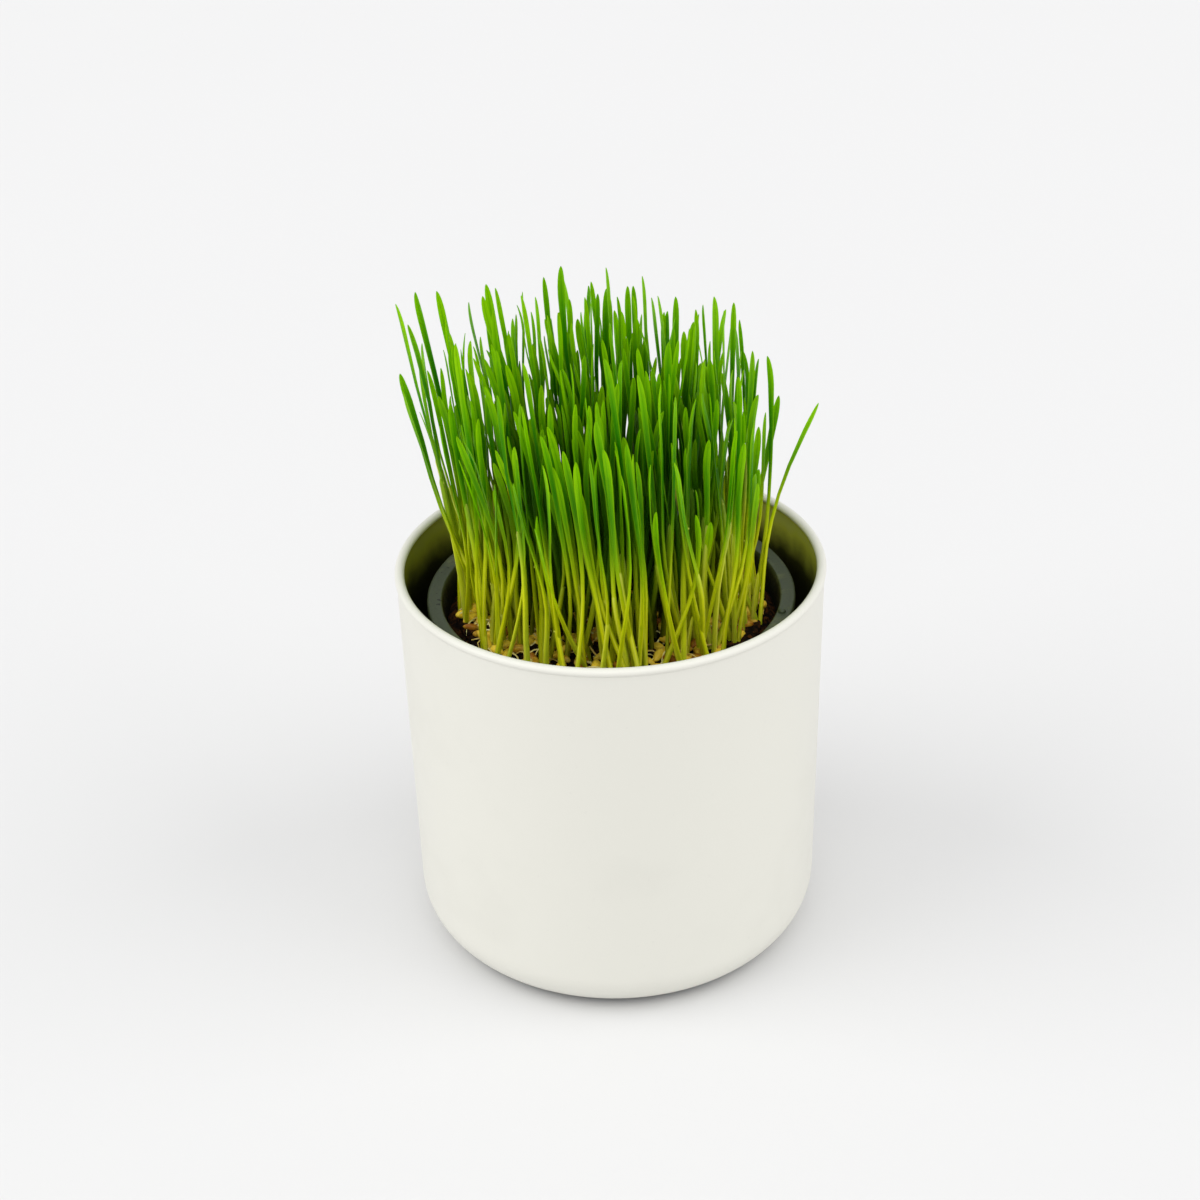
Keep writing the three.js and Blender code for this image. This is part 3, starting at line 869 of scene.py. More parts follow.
def grow_blades(centres, outlines, rng):
    blades = []
    for foot_x, foot_y, tip_x, tip_y, height in SKYLINE:
        clump, foot = placed_foot((foot_x, foot_y), centres, outlines)
        kind = "short" if height < SKYLINE_BEND["short_below"] else "tall"
        path = blade_path(foot, (tip_x, tip_y), height, SKYLINE_BEND[kind], (0, 0))
        blades.append(Blade(clump, foot, height, path, FULL_TURN * rng.draw(), True))
    golden_angle = math.pi * (3 - math.sqrt(5))
    for number in range(SWARD["blades"] - len(SKYLINE)):
        r = SWARD["foot_radius"] * math.sqrt((number + 0.5) / SWARD["blades"])
        spot = rng.moved(around(r, number * golden_angle), SWARD["foot_jitter"])
        clump, foot = placed_foot(spot, centres, outlines)
        scatter = rng.draw() + rng.draw() + rng.draw() - 1.5
        tallest = SWARD["tallest"] - SWARD["back_drop"] * foot[1]
        height = min(max(SWARD["height"] + SWARD["height_spread"] * scatter, SWARD["shortest"]), tallest)
        spread = (foot[0] * (1 + SWARD["spread_x"]), foot[1] * (1 + SWARD["spread_y"]))
        tip_x, tip_y = rng.moved(spread, SWARD["stray"])
        bow = rng.moved((0, 0), SWARD["bow"])
        bend = SWARD["bend_from"] + (SWARD["bend_to"] - SWARD["bend_from"]) * rng.draw()
        path = blade_path(foot, (tip_x - SWARD["left_lean"], tip_y), height, bend, bow)
        blades.append(Blade(clump, foot, height, path, FULL_TURN * rng.draw(), False))
    return blades


def push_apart(blades):
    """Pushes blades apart until none touch, with their feet held where they are."""
    paths = np.array([blade.path for blade in blades])
    heights = np.array([blade.height for blade in blades])
    lower = np.minimum(heights[:, None], heights[None, :])
    skyline = np.array([blade.skyline for blade in blades])
    share = np.where(skyline[:, None], PUSH["skyline_share"], 1 - PUSH["skyline_share"])
    share = np.where(skyline[:, None] == skyline[None, :], 0.5, share)
    other = ~np.eye(len(blades), dtype=bool)
    for _ in range(PUSH["rounds"]):
        moves = np.zeros_like(paths)
        for k in range(len(LEVELS) - 1):
            below = paths[None, :, k] - paths[:, None, k]
            change = paths[None, :, k + 1] - paths[:, None, k + 1] - below
            square = (change**2).sum(-1)
            t = np.clip(-(below * change).sum(-1) / np.where(square > 0, square, 1), 0, 1)
            apart = below + t[..., None] * change
            away = np.hypot(apart[..., 0], apart[..., 1])
            need = 2 * (HALF_WIDTHS[k] + t * (HALF_WIDTHS[k + 1] - HALF_WIDTHS[k])) + PUSH["gap"]
            close = (away < need) & (LEVELS[k] < lower) & other
            push = np.where(close, share * PUSH["share"] * (need - away) / (away + PUSH["least"]), 0)
            if k > 0:
                moves[:, k] -= (((1 - t) * push)[..., None] * apart).sum(1)
            moves[:, k + 1] -= ((t * push)[..., None] * apart).sum(1)
        paths += moves
    for blade, path in zip(blades, paths):
        blade.path = path


def oval_reach(angle, way):
    """How far a grain lying at an angle reaches in a direction."""
    along = way[0] * math.cos(angle) + way[1] * math.sin(angle)
    across = way[1] * math.cos(angle) - way[0] * math.sin(angle)
    return math.hypot(GRAIN["length"] / 2 * along, GRAIN["width"] / 2 * across)


def clear_of_grain(grain, spot, margin):
    x, y, angle = grain
    away = math.dist(spot, (x, y))
    return away > oval_reach(angle, ((spot[0] - x) / away, (spot[1] - y) / away)) + margin


def lay_grains(outline, own, blades, rng):
    """The grains of a clump: each one's middle and the angle it lies at, away from its shoot's foot."""
    sides = sides_of(outline)
    grains = []
    for n in range(GRAIN["tries"]):
        if len(grains) == GRAIN["per_clump"]:
            break
        shoot = own[n % len(own)]
        angle = FULL_TURN * rng.draw()
        aside = around(GRAIN["length"] / 2 - GRAIN["germ"], angle)
        x, y = shoot.foot[0] + aside[0], shoot.foot[1] + aside[1]
        grain = (x, y, angle)
        on_clump = all(
            (p[0] - x) * way[0] + (p[1] - y) * way[1] > oval_reach(angle, way) + CLEARANCE
            for p, way in sides
        )
        others = [b.foot for b in blades if b is not shoot]
        clear_of_stems = all(clear_of_grain(grain, foot, GRAIN["stem_clear"]) for foot in others)
        clear_of_grains = all(clear_of_grain(grain, g[:2], GRAIN["width"] / 2) for g in grains)
        if on_clump and clear_of_stems and clear_of_grains:
            grains.append(grain)
    return grains


@functools.cache
def grown_turf():
    """The clumps' outlines, all blades, and the grains of each clump that its solid has."""
    rng = FixedRandom(SEED)
    centres = clump_centres(rng)
    outlines = clump_outlines(centres, rng)
    blades = grow_blades(centres, outlines, rng)
    push_apart(blades)
    grains = []
    for clump, outline in enumerate(outlines):
        own = [blade for blade in blades if blade.clump == clump]
        grains.append(lay_grains(outline, own, blades, rng))
    return outlines, blades, grains


# What grows finer than the solids, in millimetres and radians. A pair in braces is a range to draw from.

SHOOTS_SEED = SEED + 100
DEW_SEED = SEED + 200
# A leaf's rings of vertices above its foot: at shares of the way to its tip, and then down from its end,
# in lengths of its tip
LEAF_SHARES = [0.04, 0.14, 0.26, 0.39, 0.52, 0.66, 0.82]
TIP_DROPS = [1.0, 0.72, 0.48, 0.28, 0.14, 0.05, 0.0]
# A leaf's half width and half thickness, and how far it is open, at shares of its height
LEAF_AT = [0.0, 0.15, 0.35, 0.5, 0.65, 0.8, 0.9, 1.0]
LEAF_WIDTHS = [0.95, 0.86, 0.72, 0.66, 0.74, 0.9, 1.05, 1.1]
LEAF_OPEN = [0.0, 0.0, 0.15, 0.5, 0.85, 1.0, 1.0, 1.0]
LEAF = {"wide": (0.78, 1.24), "tip_power": 2.4, "tip_root": 0.52, "least": 0.1}
# How thick a stem is that stands alone, and one that is added or in a sheath, as a share of LEAF_WIDTHS
GIRTH = {"alone": 0.98, "slim": 0.84}
# Sides of the rods that copies are bent from, and how far a leaf's is turned about itself
ROD_SIDES = {"shoot": 6, "rootlet": 4}
LEAF_TURNED = math.radians(30)
# How far a shoot's foot and its middle stray from the solid's path, and the height at which its foot rejoins
STRAY = {"foot": 3.6, "far_foot": 11.0, "far_share": 0.4, "rejoin": 58, "wave": 1.3}
# Shares of its height at which a sheath has a ring, and its half width and paleness there
SHEATH_RINGS = [
    (-0.02, 0.96, 0.4),
    (0.25, 0.99, 0.12),
    (0.5, 0.97, 0.06),
    (0.75, 0.93, 0.12),
    (0.93, 0.88, 0.35),
    (1.0, 0.77, 0.65),
    (1.03, 0.4, 1.0),
]
SHEATH = {"girth": (0.88, 1.05), "pale_share": 0.38, "palest": 0.9}
SHEATH_PALENESS = {"paler": (2.6, 4.5), "plain": (0.5, 1.5)}
# Shares of its height at which a late shoot has a ring, and its half width there
SPIKE_RINGS = [(-0.02, 0.8), (0.3, 0.86), (0.6, 0.8), (0.85, 0.62), (0.96, 0.4), (1.0, 0.12)]
SPIKE = {"height": (7, 32), "clear": 1.9, "lean": 0.25, "curve": 1.5, "tries": 60}
# A late shoot's paleness, and its place along a leaf, from foot to tip
SPIKE_PALE = (0.5, 0.3)
SPIKE_ALONG = (0.02, 0.2)
ADDED = {"clear": 2.0, "drift": 3.0, "spread": 0.15, "height": (0.7, 0.99), "tries": 200}
ROOTLET = {"length": (4, 11), "rings": 7, "thick": 0.37, "thin": 0.18, "curl": (-3.4, 3.4), "reach": 49.8}
ROOTLET_RISE = {"bow": (0.3, 3.0), "start": 0.4, "sinks": 1.2, "from_grain": 2}
CRUMB = {"size": (0.45, 1.5), "smaller": (0.6, 1.0), "flatter": (0.5, 0.9), "corners": 0.35}
BEAD = {"size": (0.26, 0.44), "aside": 0.75, "share": 0.7}
# The crease along a grain's belly, in half grains, and how its ends differ
CREASE = {"above": 0.9, "half_width": 0.2, "depth": 0.28}
GRAIN_ENDS = {"blunter": 0.16, "narrower": 0.1}
# Grains beyond the solid's, which lie as they fell
FALLEN = {"rounds": 6, "from_foot": (2.2, 3.4), "clear": 2.7, "edge": 0.6}
FALLEN_LIE = {"tilt": (-0.55, 0.35), "rise": (-0.3, 1.1), "size": (0.85, 1.02)}
# The root mat's voxels, the size and strength of its lumps, and how far above and inside it its crumbs lie
MAT_RELIEF = {"voxel": 0.9, "lump": 2.2, "strength": 1.5, "crumb_rise": (-0.2, 0.4), "crumb_edge": 0.2}


def spot_in(outline, rng):
    """A spot in the box round an outline."""
    xs, ys = zip(*outline)
    return rng.uniform(min(xs), max(xs)), rng.uniform(min(ys), max(ys))


def random_shift(reach, rng):
    """A shift of up to a reach either way in x and in y."""
    return reach * np.array([rng.uniform(-1, 1), rng.uniform(-1, 1)])


class Course:
    """The smooth way of a shoot through its blade's places at LEVELS, with a foot that strays a little."""

    def __init__(self, blade, rng):
        self.levels = np.array(LEVELS, dtype=float)
        self.path = blade.path
        self.slopes = np.gradient(blade.path, self.levels, axis=0)
        self.turn = blade.turn
        self.height = blade.height
        reach = STRAY["far_foot"] if rng.random() < STRAY["far_share"] else STRAY["foot"]
        angle = rng.uniform(0, FULL_TURN)
        self.foot_shift = np.array(around(reach * math.sqrt(rng.random()), angle))
        outside = np.linalg.norm(np.array(blade.foot) + self.foot_shift) - SWARD["foot_radius"]
        if outside > 0:
            self.foot_shift -= outside * np.array(blade.foot) / np.linalg.norm(blade.foot)
        self.wave = random_shift(STRAY["wave"], rng)
        self.phase = rng.uniform(0, FULL_TURN)

    def points(self, heights):
        """Points at heights above the mat, on a cubic curve from level to level."""
        inside = np.clip(heights, 0, self.levels[-1])
        k = np.clip(np.searchsorted(self.levels, inside, side="right") - 1, 0, len(self.levels) - 2)
        span = self.levels[k + 1] - self.levels[k]
        t = (inside - self.levels[k]) / span
        starts = (1 + 2 * t) * (1 - t) ** 2
        ends = t**2 * (3 - 2 * t)
        leaving = t * (1 - t) ** 2 * span
        arriving = t**2 * (t - 1) * span
        flat = starts[:, None] * self.path[k] + ends[:, None] * self.path[k + 1]
        flat += leaving[:, None] * self.slopes[k] + arriving[:, None] * self.slopes[k + 1]
        low = np.clip(1 - inside / STRAY["rejoin"], 0, 1) ** 2
        share = inside / self.height
        sway = np.sin(FULL_TURN * share + self.phase) * share * (1 - share) * 4
        flat += low[:, None] * self.foot_shift + sway[:, None] * self.wave
        return np.column_stack([flat, MAT_TOP + heights])

    def facing(self, heights):
        return self.turn + TWIST * heights


def leaf_copy(shape, course, girth, tint, rng, turf):
    """One leaf: rolled into a round stem low down, opening to a folded blade with a blunt tip."""
    tip = turf.tip / MM
    whole = course.height
    below = [share * (whole - tip) for share in LEAF_SHARES]
    heights = np.array([-SWARD["root_depth"], *below, *(whole - drop * tip for drop in TIP_DROPS)])
    shares = np.clip(heights / whole, 0, 1)
    opened = np.interp(shares, LEAF_AT, LEAF_OPEN)
    widths = np.interp(shares, LEAF_AT, LEAF_WIDTHS) * rng.uniform(*LEAF["wide"])
    widths *= girth + (1 - girth) * opened
    depths = widths + (turf.leaf_thickness / MM / 2 - widths) * opened
    past = np.clip((heights - whole + tip) / tip, 0, 1)
    taper = (1 - past ** LEAF["tip_power"]) ** LEAF["tip_root"]
    half_taper = 0.5 + 0.5 * taper
    widths = np.maximum(widths * taper, LEAF["least"])
    depths = np.maximum(depths * half_taper, LEAF["least"])
    folds = turf.fold * opened * half_taper * rng.choice((-1, 1))
    points, facing = course.points(heights), course.facing(heights)
    return shape.along(points, facing, widths, depths, folds, along=shares, tint=tint)


def sheath_copy(shape, course, height, tint, rng):
    """The sheath round the foot of a shoot, as green as its leaf at each height, with a pale open end."""
    shares, widths, pale = np.array(SHEATH_RINGS).T
    heights = shares * height
    widths = widths * rng.uniform(*SHEATH["girth"])
    kind = "paler" if rng.random() < SHEATH["pale_share"] else "plain"
    pale = np.minimum(pale * rng.uniform(*SHEATH_PALENESS[kind]), SHEATH["palest"])
    along = np.clip(heights / course.height, 0, 1)
    points, facing = course.points(heights), course.facing(heights)
    return shape.along(points, facing, widths, widths, along=along, tint=tint, pale=pale)


def bead_copy(shape, course, height, rng):
    """A drop of dew at the open end of a sheath, coloured the leaf's palest as a painted glint."""
    aside = np.array([*around(BEAD["aside"], rng.uniform(0, FULL_TURN)), 0.0])
    size = rng.uniform(*BEAD["size"])
    end = course.points(np.array([height]))[0]
    # Painted glint: the drop takes the pale sheath colour, where a clear drop would catch the light
    return copy_of(shape, turned_about(coordinates(shape) * size, rng) + end + aside, tint=1.0, pale=1.0)


def added_blades(outline, own, count, rng):
    """More shoots for a clump than its solid has: each rises beside a neighbour, and no higher."""
    added = []
    for _ in range(ADDED["tries"]):
        if len(added) == count:
            break
        spot = spot_in(outline, rng)
        away = [math.dist(spot, blade.foot) for blade in own + added]
        if min(away) < ADDED["clear"] or depth_inside(outline, spot) < SWARD["edge_margin"]:
            continue
        near = min(own, key=lambda blade: math.dist(spot, blade.foot))
        aside = np.array(spot) - np.array(near.foot)
        drift = random_shift(ADDED["drift"], rng)
        rise = np.array(LEVELS)[:, None] / near.height
        path = near.path + aside * (1 + ADDED["spread"] * rise) + drift * rise
        height = near.height * rng.uniform(*ADDED["height"])
        added.append(Blade(near.clump, spot, height, path, rng.uniform(0, FULL_TURN), False))
    return added


def spike_copies(shape, outline, feet, count, rng):
    """Late shoots: pale pointed sheaths that no leaf has left yet."""
    made = []
    shares, widths = np.array(SPIKE_RINGS).T
    for _ in range(SPIKE["tries"]):
        if len(made) == count:
            break
        spot = spot_in(outline, rng)
        clear = all(math.dist(spot, foot) > SPIKE["clear"] for foot in feet)
        if not clear or depth_inside(outline, spot) < SWARD["edge_margin"]:
            continue
        feet.append(spot)
        height = rng.uniform(*SPIKE["height"])
        angle = rng.uniform(0, FULL_TURN)
        lean = SPIKE["lean"] * height * rng.random() * np.maximum(shares, 0) ** SPIKE["curve"]
        x, y = around(lean, angle)
        points = np.column_stack([spot[0] + x, spot[1] + y, MAT_TOP + shares * height])
        along = np.linspace(*SPIKE_ALONG, len(shares))
        pale = np.linspace(*SPIKE_PALE, len(shares))
        made.append(shape.along(points, angle, widths, widths, along=along, tint=rng.random(), pale=pale))
    return made


def rootlet_copy(shape, start, rng):
    """A rootlet that leaves a grain, rises a little and curls back into the mat."""
    count = ROOTLET["rings"]
    length = rng.uniform(*ROOTLET["length"])
    heading = rng.uniform(0, FULL_TURN)
    shares = np.linspace(0, 1, count)
    angles = heading + rng.uniform(*ROOTLET["curl"]) * shares
    steps = np.column_stack([np.cos(angles), np.sin(angles)]) * length / (count - 1)
    flat = start + np.cumsum(steps, axis=0) - steps[0]
    flat *= np.minimum(1, ROOTLET["reach"] / np.linalg.norm(flat, axis=1))[:, None]
    bow = rng.uniform(*ROOTLET_RISE["bow"]) * np.sin(math.pi * shares)
    rise = bow + ROOTLET_RISE["start"] - ROOTLET_RISE["sinks"] * shares
    thick = ROOTLET["thick"] + (ROOTLET["thin"] - ROOTLET["thick"]) * shares
    points = np.column_stack([flat, MAT_TOP + rise])
    return shape.along(points, angles + math.pi / 2, thick, thick, tint=rng.random())


def model_grain(material):
    """A wheat grain: an oval with a crease along its belly and a blunter end at the germ."""
    deselect()
    bpy.ops.mesh.primitive_uv_sphere_add(segments=8, ring_count=6, radius=1.0, location=(0, 0, 0))
    grain = bpy.context.object
    with editing():
        bpy.ops.transform.rotate(value=math.pi / 2, orient_axis="Y", center_override=(0, 0, 0))
    for vertex in grain.data.vertices:
        x, y, z = vertex.co
        vertex.select = z > CREASE["above"] and abs(y) < CREASE["half_width"]
        swell = 1 - GRAIN_ENDS["blunter"] * x - GRAIN_ENDS["narrower"] * x * x
        vertex.co = (x, y * swell, z * swell)
    with editing():
        bpy.ops.transform.translate(value=(0, 0, -CREASE["depth"]))
    half = (GRAIN["length"] / 2, GRAIN["width"] / 2, GRAIN["height"] / 2)
    grain.data.transform(Matrix.Diagonal((*half, 1.0)))
    grain.data.materials.append(material)
    return grain


def model_bead(material):
    deselect()
    bpy.ops.mesh.primitive_ico_sphere_add(subdivisions=1, radius=1.0, location=(0, 0, 0))
    bead = bpy.context.object
    bead.data.materials.append(material)
    return bead


def model_crumb(material):
    """A crumb of soil: a bead with its corners moved at random."""
    crumb = model_bead(material)
    with editing():
        bpy.ops.transform.vertex_random(offset=CRUMB["corners"], seed=SEED)
    return crumb


def turned_about(places, rng):
    """Vertices of a small shape, turned at random."""
    about_z = Matrix.Rotation(rng.uniform(0, FULL_TURN), 3, "Z")
    about_x = Matrix.Rotation(rng.uniform(0, FULL_TURN), 3, "X")
    return places @ np.array(about_z @ about_x).T


def crumb_copy(shape, spot, rng):
    size = rng.uniform(*CRUMB["size"]) * rng.uniform(*CRUMB["smaller"])
    sizes = (size, size * rng.uniform(*CRUMB["smaller"]), size * rng.uniform(*CRUMB["flatter"]))
    return copy_of(shape, turned_about(coordinates(shape) * sizes, rng) + spot, tint=rng.random())


def bed_grains(outline, feet, solid_grains, count, rng):
    """A clump's grains, with their angle and tilt: its solid's, which lie flat, and others between them."""
    grains = [(*grain, 0.0) for grain in solid_grains]
    for n in range(count * FALLEN["rounds"]):
        if len(grains) == count:
            break
        foot = feet[n % len(feet)]
        angle = rng.uniform(0, FULL_TURN)
        aside = around(rng.uniform(*FALLEN["from_foot"]), angle)
        spot = (foot[0] + aside[0], foot[1] + aside[1])
        clear = all(math.dist(spot, grain[:2]) > FALLEN["clear"] for grain in grains)
        if clear and depth_inside(outline, spot) > FALLEN["edge"]:
            grains.append((*spot, angle, rng.uniform(*FALLEN_LIE["tilt"])))
    return grains


def grain_copy(shape, grain, rng):
    """A grain with its germ at its shoot's foot."""
    x, y, angle, tilt = grain
    fallen = tilt != 0
    rise = MAT_TOP + GRAIN["lift"] + (rng.uniform(*FALLEN_LIE["rise"]) if fallen else 0.0)
    size = rng.uniform(*FALLEN_LIE["size"]) if fallen else 1.0
    roll = rng.uniform(0, FULL_TURN)
    turn = Matrix.Rotation(angle, 3, "Z") @ Matrix.Rotation(tilt, 3, "Y") @ Matrix.Rotation(roll, 3, "X")
    co = coordinates(shape)
    places = (co * size) @ np.array(turn).T + (x, y, rise)
    return copy_of(shape, places, tint=rng.random(), along=0.5 - co[:, 0] / GRAIN["length"])


def mat_patch(name, outline, material, lumps):
    """A clump's patch of root mat: its outline drawn up into a slab, then remeshed and made lumpy."""
    floor = MAT_FOOT * MM
    deselect()
    bpy.ops.mesh.primitive_circle_add(
        vertices=len(outline), radius=1.0, fill_type="NGON", location=(0, 0, 0)
    )
    patch = bpy.context.object
    patch.name = name
    for vertex in patch.data.vertices:
        turn = math.atan2(-vertex.co.x, vertex.co.y) % FULL_TURN
        x, y = outline[round(turn / FULL_TURN * len(outline)) % len(outline)]
        vertex.co = (x * MM, y * MM, floor)
    with editing():
        bpy.ops.mesh.extrude_region_move(TRANSFORM_OT_translate={"value": (0, 0, MAT["thickness"] * MM)})
        bpy.ops.mesh.select_all(action="SELECT")
        bpy.ops.mesh.normals_make_consistent(inside=False)
    apply_modifier(patch, "REMESH", mode="VOXEL", voxel_size=MAT_RELIEF["voxel"] * MM)
    relief = {"texture": lumps, "strength": MAT_RELIEF["strength"] * MM, "texture_coords": "LOCAL"}
    apply_modifier(patch, "DISPLACE", mid_level=0.5, **relief)
    for vertex in patch.data.vertices:
        vertex.co.z = max(vertex.co.z, floor)
    patch.data.materials.append(material)
    set_values(patch)
    return patch


# Operators

# The rolled rim's arc, in degrees, and steps on each arc of the cover pot
ROLL_ARC = (-50, 215)
COVER_STEPS = {"foot": 14, "roll": 18, "inner_foot": 10}
# How far below the roll's middle the inner wall starts, in rolls, and how the recess's edge is softened
ROLL_TUCK = 1.6
SOFTENED = 0.3
# The nursery ring's top, in edge roundnesses, in from the rim and down, then its mouth's edge, and the steps
# on the arcs of both edges
RING_TOP = [(2.2, 0.35), (3, 0.4)]
MOUTH = {"out": 1.2, "down": 0.4, "round": 0.8}
RING_STEPS = {"edge": 6, "mouth": 3}
# Faces round a drill, and how many floors long it is
DRILL = {"sides": 24, "floors": 4}
# The moulding nub on that ring, with its angle in degrees
NUB = {"out": 0.0569, "angle": -17, "radius": 0.0013, "rise": 0.001, "sunk": 0.0001}
# The soil's shoulder, in edge dips, its rings, as shares of its flat radius, and the band of crumbs round it
SHOULDER = {"in": 0.3, "up": 0.1}
SOIL_RINGS = (1.0, 0.9, 0.7, 0.45, 0.2)
SOIL_SIDES = 96
SOIL_TINT = 0.2
CRUMB_BAND = {"inside": 0.0012, "clear": 0.0002}
# Edges sharper than this stay sharp, in degrees
SHARP = {"pots": 40, "soil": 50, "beds": 60, "shoots": 65}

# The camera: where it stands, and how it is turned, tilted and rolled, in degrees
CAMERA_PLACE = (0.0, -0.56803, 0.44615)
CAMERA_ANGLES = [(0.368, "Z"), (60.102, "X"), (-1.558, "Z")]
CAMERA = {"lens": 60, "sensor": 36}
FLOOR = {"sides": 64, "radius": 5.0, "drop": 0.0001}
# Where the three wide lights come from, as directions from the pot
KEYS = {"left": (-1.0, -0.25, 0.8), "right": (1.0, -0.25, 0.8), "top": (0.0, -0.7, 1.0)}


class WHEATGRASS_OT_cover_pot(bpy.types.Operator):
    """Make the white cover pot"""

    bl_idname = "wheatgrass.cover_pot"
    bl_label = "Cover Pot"

    def execute(self, context):
        c = context.scene.wheatgrass_cover
        top, rim = cover_high.z, cover_high.x
        radius_top, radius_base = rim - c.top_inset, rim - c.base_inset
        slope = (radius_top - radius_base) / top
        tilt = math.degrees(math.atan(slope))
        corner = (radius_base + slope * c.corner - c.corner, c.corner)
        roll = (rim - c.roll_inset - c.roll_wide, top + c.roll_rise - c.roll)
        rolled = arc((0, 0), 1, *ROLL_ARC, COVER_STEPS["roll"])
        profile = [
            (c.recess_radius - c.recess_step, c.recess),
            (c.recess_radius - SOFTENED * c.recess_step, (1 - SOFTENED) * c.recess),
            (c.recess_radius, 0.0),
            *arc(corner, c.corner, -90, -tilt, COVER_STEPS["foot"]),
            *[(roll[0] + c.roll_wide * x, roll[1] + c.roll * y) for x, y in rolled],
            (radius_top - c.wall, roll[1] - ROLL_TUCK * c.roll),
            *arc(corner, c.corner - c.wall, -tilt, -90, COVER_STEPS["inner_foot"]),
            (c.recess_radius, c.wall),
            (c.recess_radius - c.recess_step, c.recess + c.wall),
        ]
        pot = turned_piece("cover_pot_shell", profile, c.sides)
        pot.data.materials.append(paint_outside(c))
        pot.data.materials.append(paint_inside(c))
        for face in pot.data.polygons:
            middle = face.center
            inward = middle.x * face.normal.x + middle.y * face.normal.y < 0
            low_inside = middle.z < 2 * c.wall + c.recess and face.normal.z > 0
            face.material_index = 1 if (inward and middle.z < top - c.roll) or low_inside else 0
        smooth(pot, SHARP["pots"])
        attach(pot, "root")
        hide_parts("cover_pot")
        return {"FINISHED"}


def model_nub(height):
    """The nub on the nursery pot's ring: a low dome, half sunk in it."""
    deselect()
    spot = (*around(NUB["out"], math.radians(NUB["angle"])), height - NUB["sunk"])
    bpy.ops.mesh.primitive_uv_sphere_add(segments=16, ring_count=8, radius=1.0, location=spot)
    bpy.ops.transform.resize(value=(NUB["radius"], NUB["radius"], NUB["rise"]), center_override=spot)
    bpy.ops.object.transform_apply(location=True, rotation=True, scale=True)
    return bpy.context.object


def model_drills(count, ring, height, radius, depth):
    """Cylinders in a ring, joined, to cut the drain holes with."""
    drills = []
    for i in range(count):
        deselect()
        spot = (*around(ring, FULL_TURN * i / count), height)
        bpy.ops.mesh.primitive_cylinder_add(
            vertices=DRILL["sides"], radius=radius, depth=depth, location=spot
        )
        drills.append(bpy.context.object)
    return join_into("drill", drills)


class WHEATGRASS_OT_nursery_pot(bpy.types.Operator):
    """Make the dark nursery pot"""

    bl_idname = "wheatgrass.nursery_pot"
    bl_label = "Nursery Pot"

    def execute(self, context):
        n = context.scene.wheatgrass_nursery
        foot, top, rim = nursery_low.z, nursery_high.z, nursery_high.x
        mouth = rim - n.ring
        lip_inner = rim - n.wall
        edge = n.edge_round
        mouth_edge = (mouth + MOUTH["round"] * edge, top - (MOUTH["down"] + MOUTH["round"]) * edge)
        profile = [
            (n.base_radius - n.wall, foot),
            (n.base_radius, foot + n.wall),
            (mouth + n.wall, top - n.wall),
            (lip_inner, top - n.wall),
            (lip_inner, top - n.lip),
            (rim, top - n.lip),
            *arc((rim - edge, top - edge), edge, 0, 90, RING_STEPS["edge"]),
            *[(rim - x * edge, top - y * edge) for x, y in RING_TOP],
            (mouth + MOUTH["out"] * edge, top - MOUTH["down"] * edge),
            *arc(mouth_edge, MOUTH["round"] * edge, 90, 180, RING_STEPS["mouth"]),
            (n.base_radius - n.wall, foot + n.floor),
        ]
        pot = turned_piece("nursery_pot_cup", profile, n.sides)
        drill = model_drills(n.drain_holes, n.drain_ring, foot, n.drain_radius, DRILL["floors"] * n.floor)
        apply_modifier(pot, "BOOLEAN", object=drill, operation="DIFFERENCE", solver="EXACT")
        bpy.data.objects.remove(drill)
        pot = join_into("nursery_pot_cup", [pot, model_nub(top)])
        pot.data.materials.clear()
        pot.data.materials.append(pot_plastic(n))
        smooth(pot, SHARP["pots"])
        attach(pot, "root")
        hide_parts("nursery_pot")
        return {"FINISHED"}


class WHEATGRASS_OT_soil(bpy.types.Operator):
    """Make the soil, with loose crumbs round its edge"""

    bl_idname = "wheatgrass.soil"
    bl_label = "Soil"

    def execute(self, context):
        s = context.scene.wheatgrass_soil
        n = context.scene.wheatgrass_nursery
        material = potting_soil(s)
        floor_top = nursery_low.z + n.floor
        inner_foot = n.base_radius - n.wall
        slope = (nursery_high.x - n.ring - inner_foot) / (nursery_high.z - floor_top)

        def wall_at(z):
            return inner_foot + slope * (z - floor_top) - CLEARANCE * MM

        low, top = soil_low.z, soil_high.z
        edge_top = top - s.edge_dip
        edge = wall_at(edge_top)
        profile = [
            (wall_at(low), low),
            (edge, edge_top),
            (edge - SHOULDER["in"] * s.edge_dip, edge_top + SHOULDER["up"] * s.edge_dip),
            *[(s.flat_radius * share, top) for share in SOIL_RINGS],
        ]
        soil = turned_piece("soil_fill", profile, SOIL_SIDES)
        soil.data.materials.append(material)
        set_values(soil, tint=SOIL_TINT)
        rng = random.Random(SEED)
        crumb = model_crumb(material)
        band = edge - s.flat_radius - CRUMB_BAND["clear"]
        parts = [soil]
        for _ in range(s.crumbs):
            angle, share = rng.uniform(0, FULL_TURN), rng.random()
            x, y = around((s.flat_radius - CRUMB_BAND["inside"] + share * band) / MM, angle)
            parts.append(crumb_copy(crumb, (x, y, (top - s.edge_dip * share) / MM), rng))
        piece = join_into("soil_fill", parts)
        bpy.data.objects.remove(crumb)
        smooth(piece, SHARP["soil"])
        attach(piece, "root")
        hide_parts("soil")
        return {"FINISHED"}


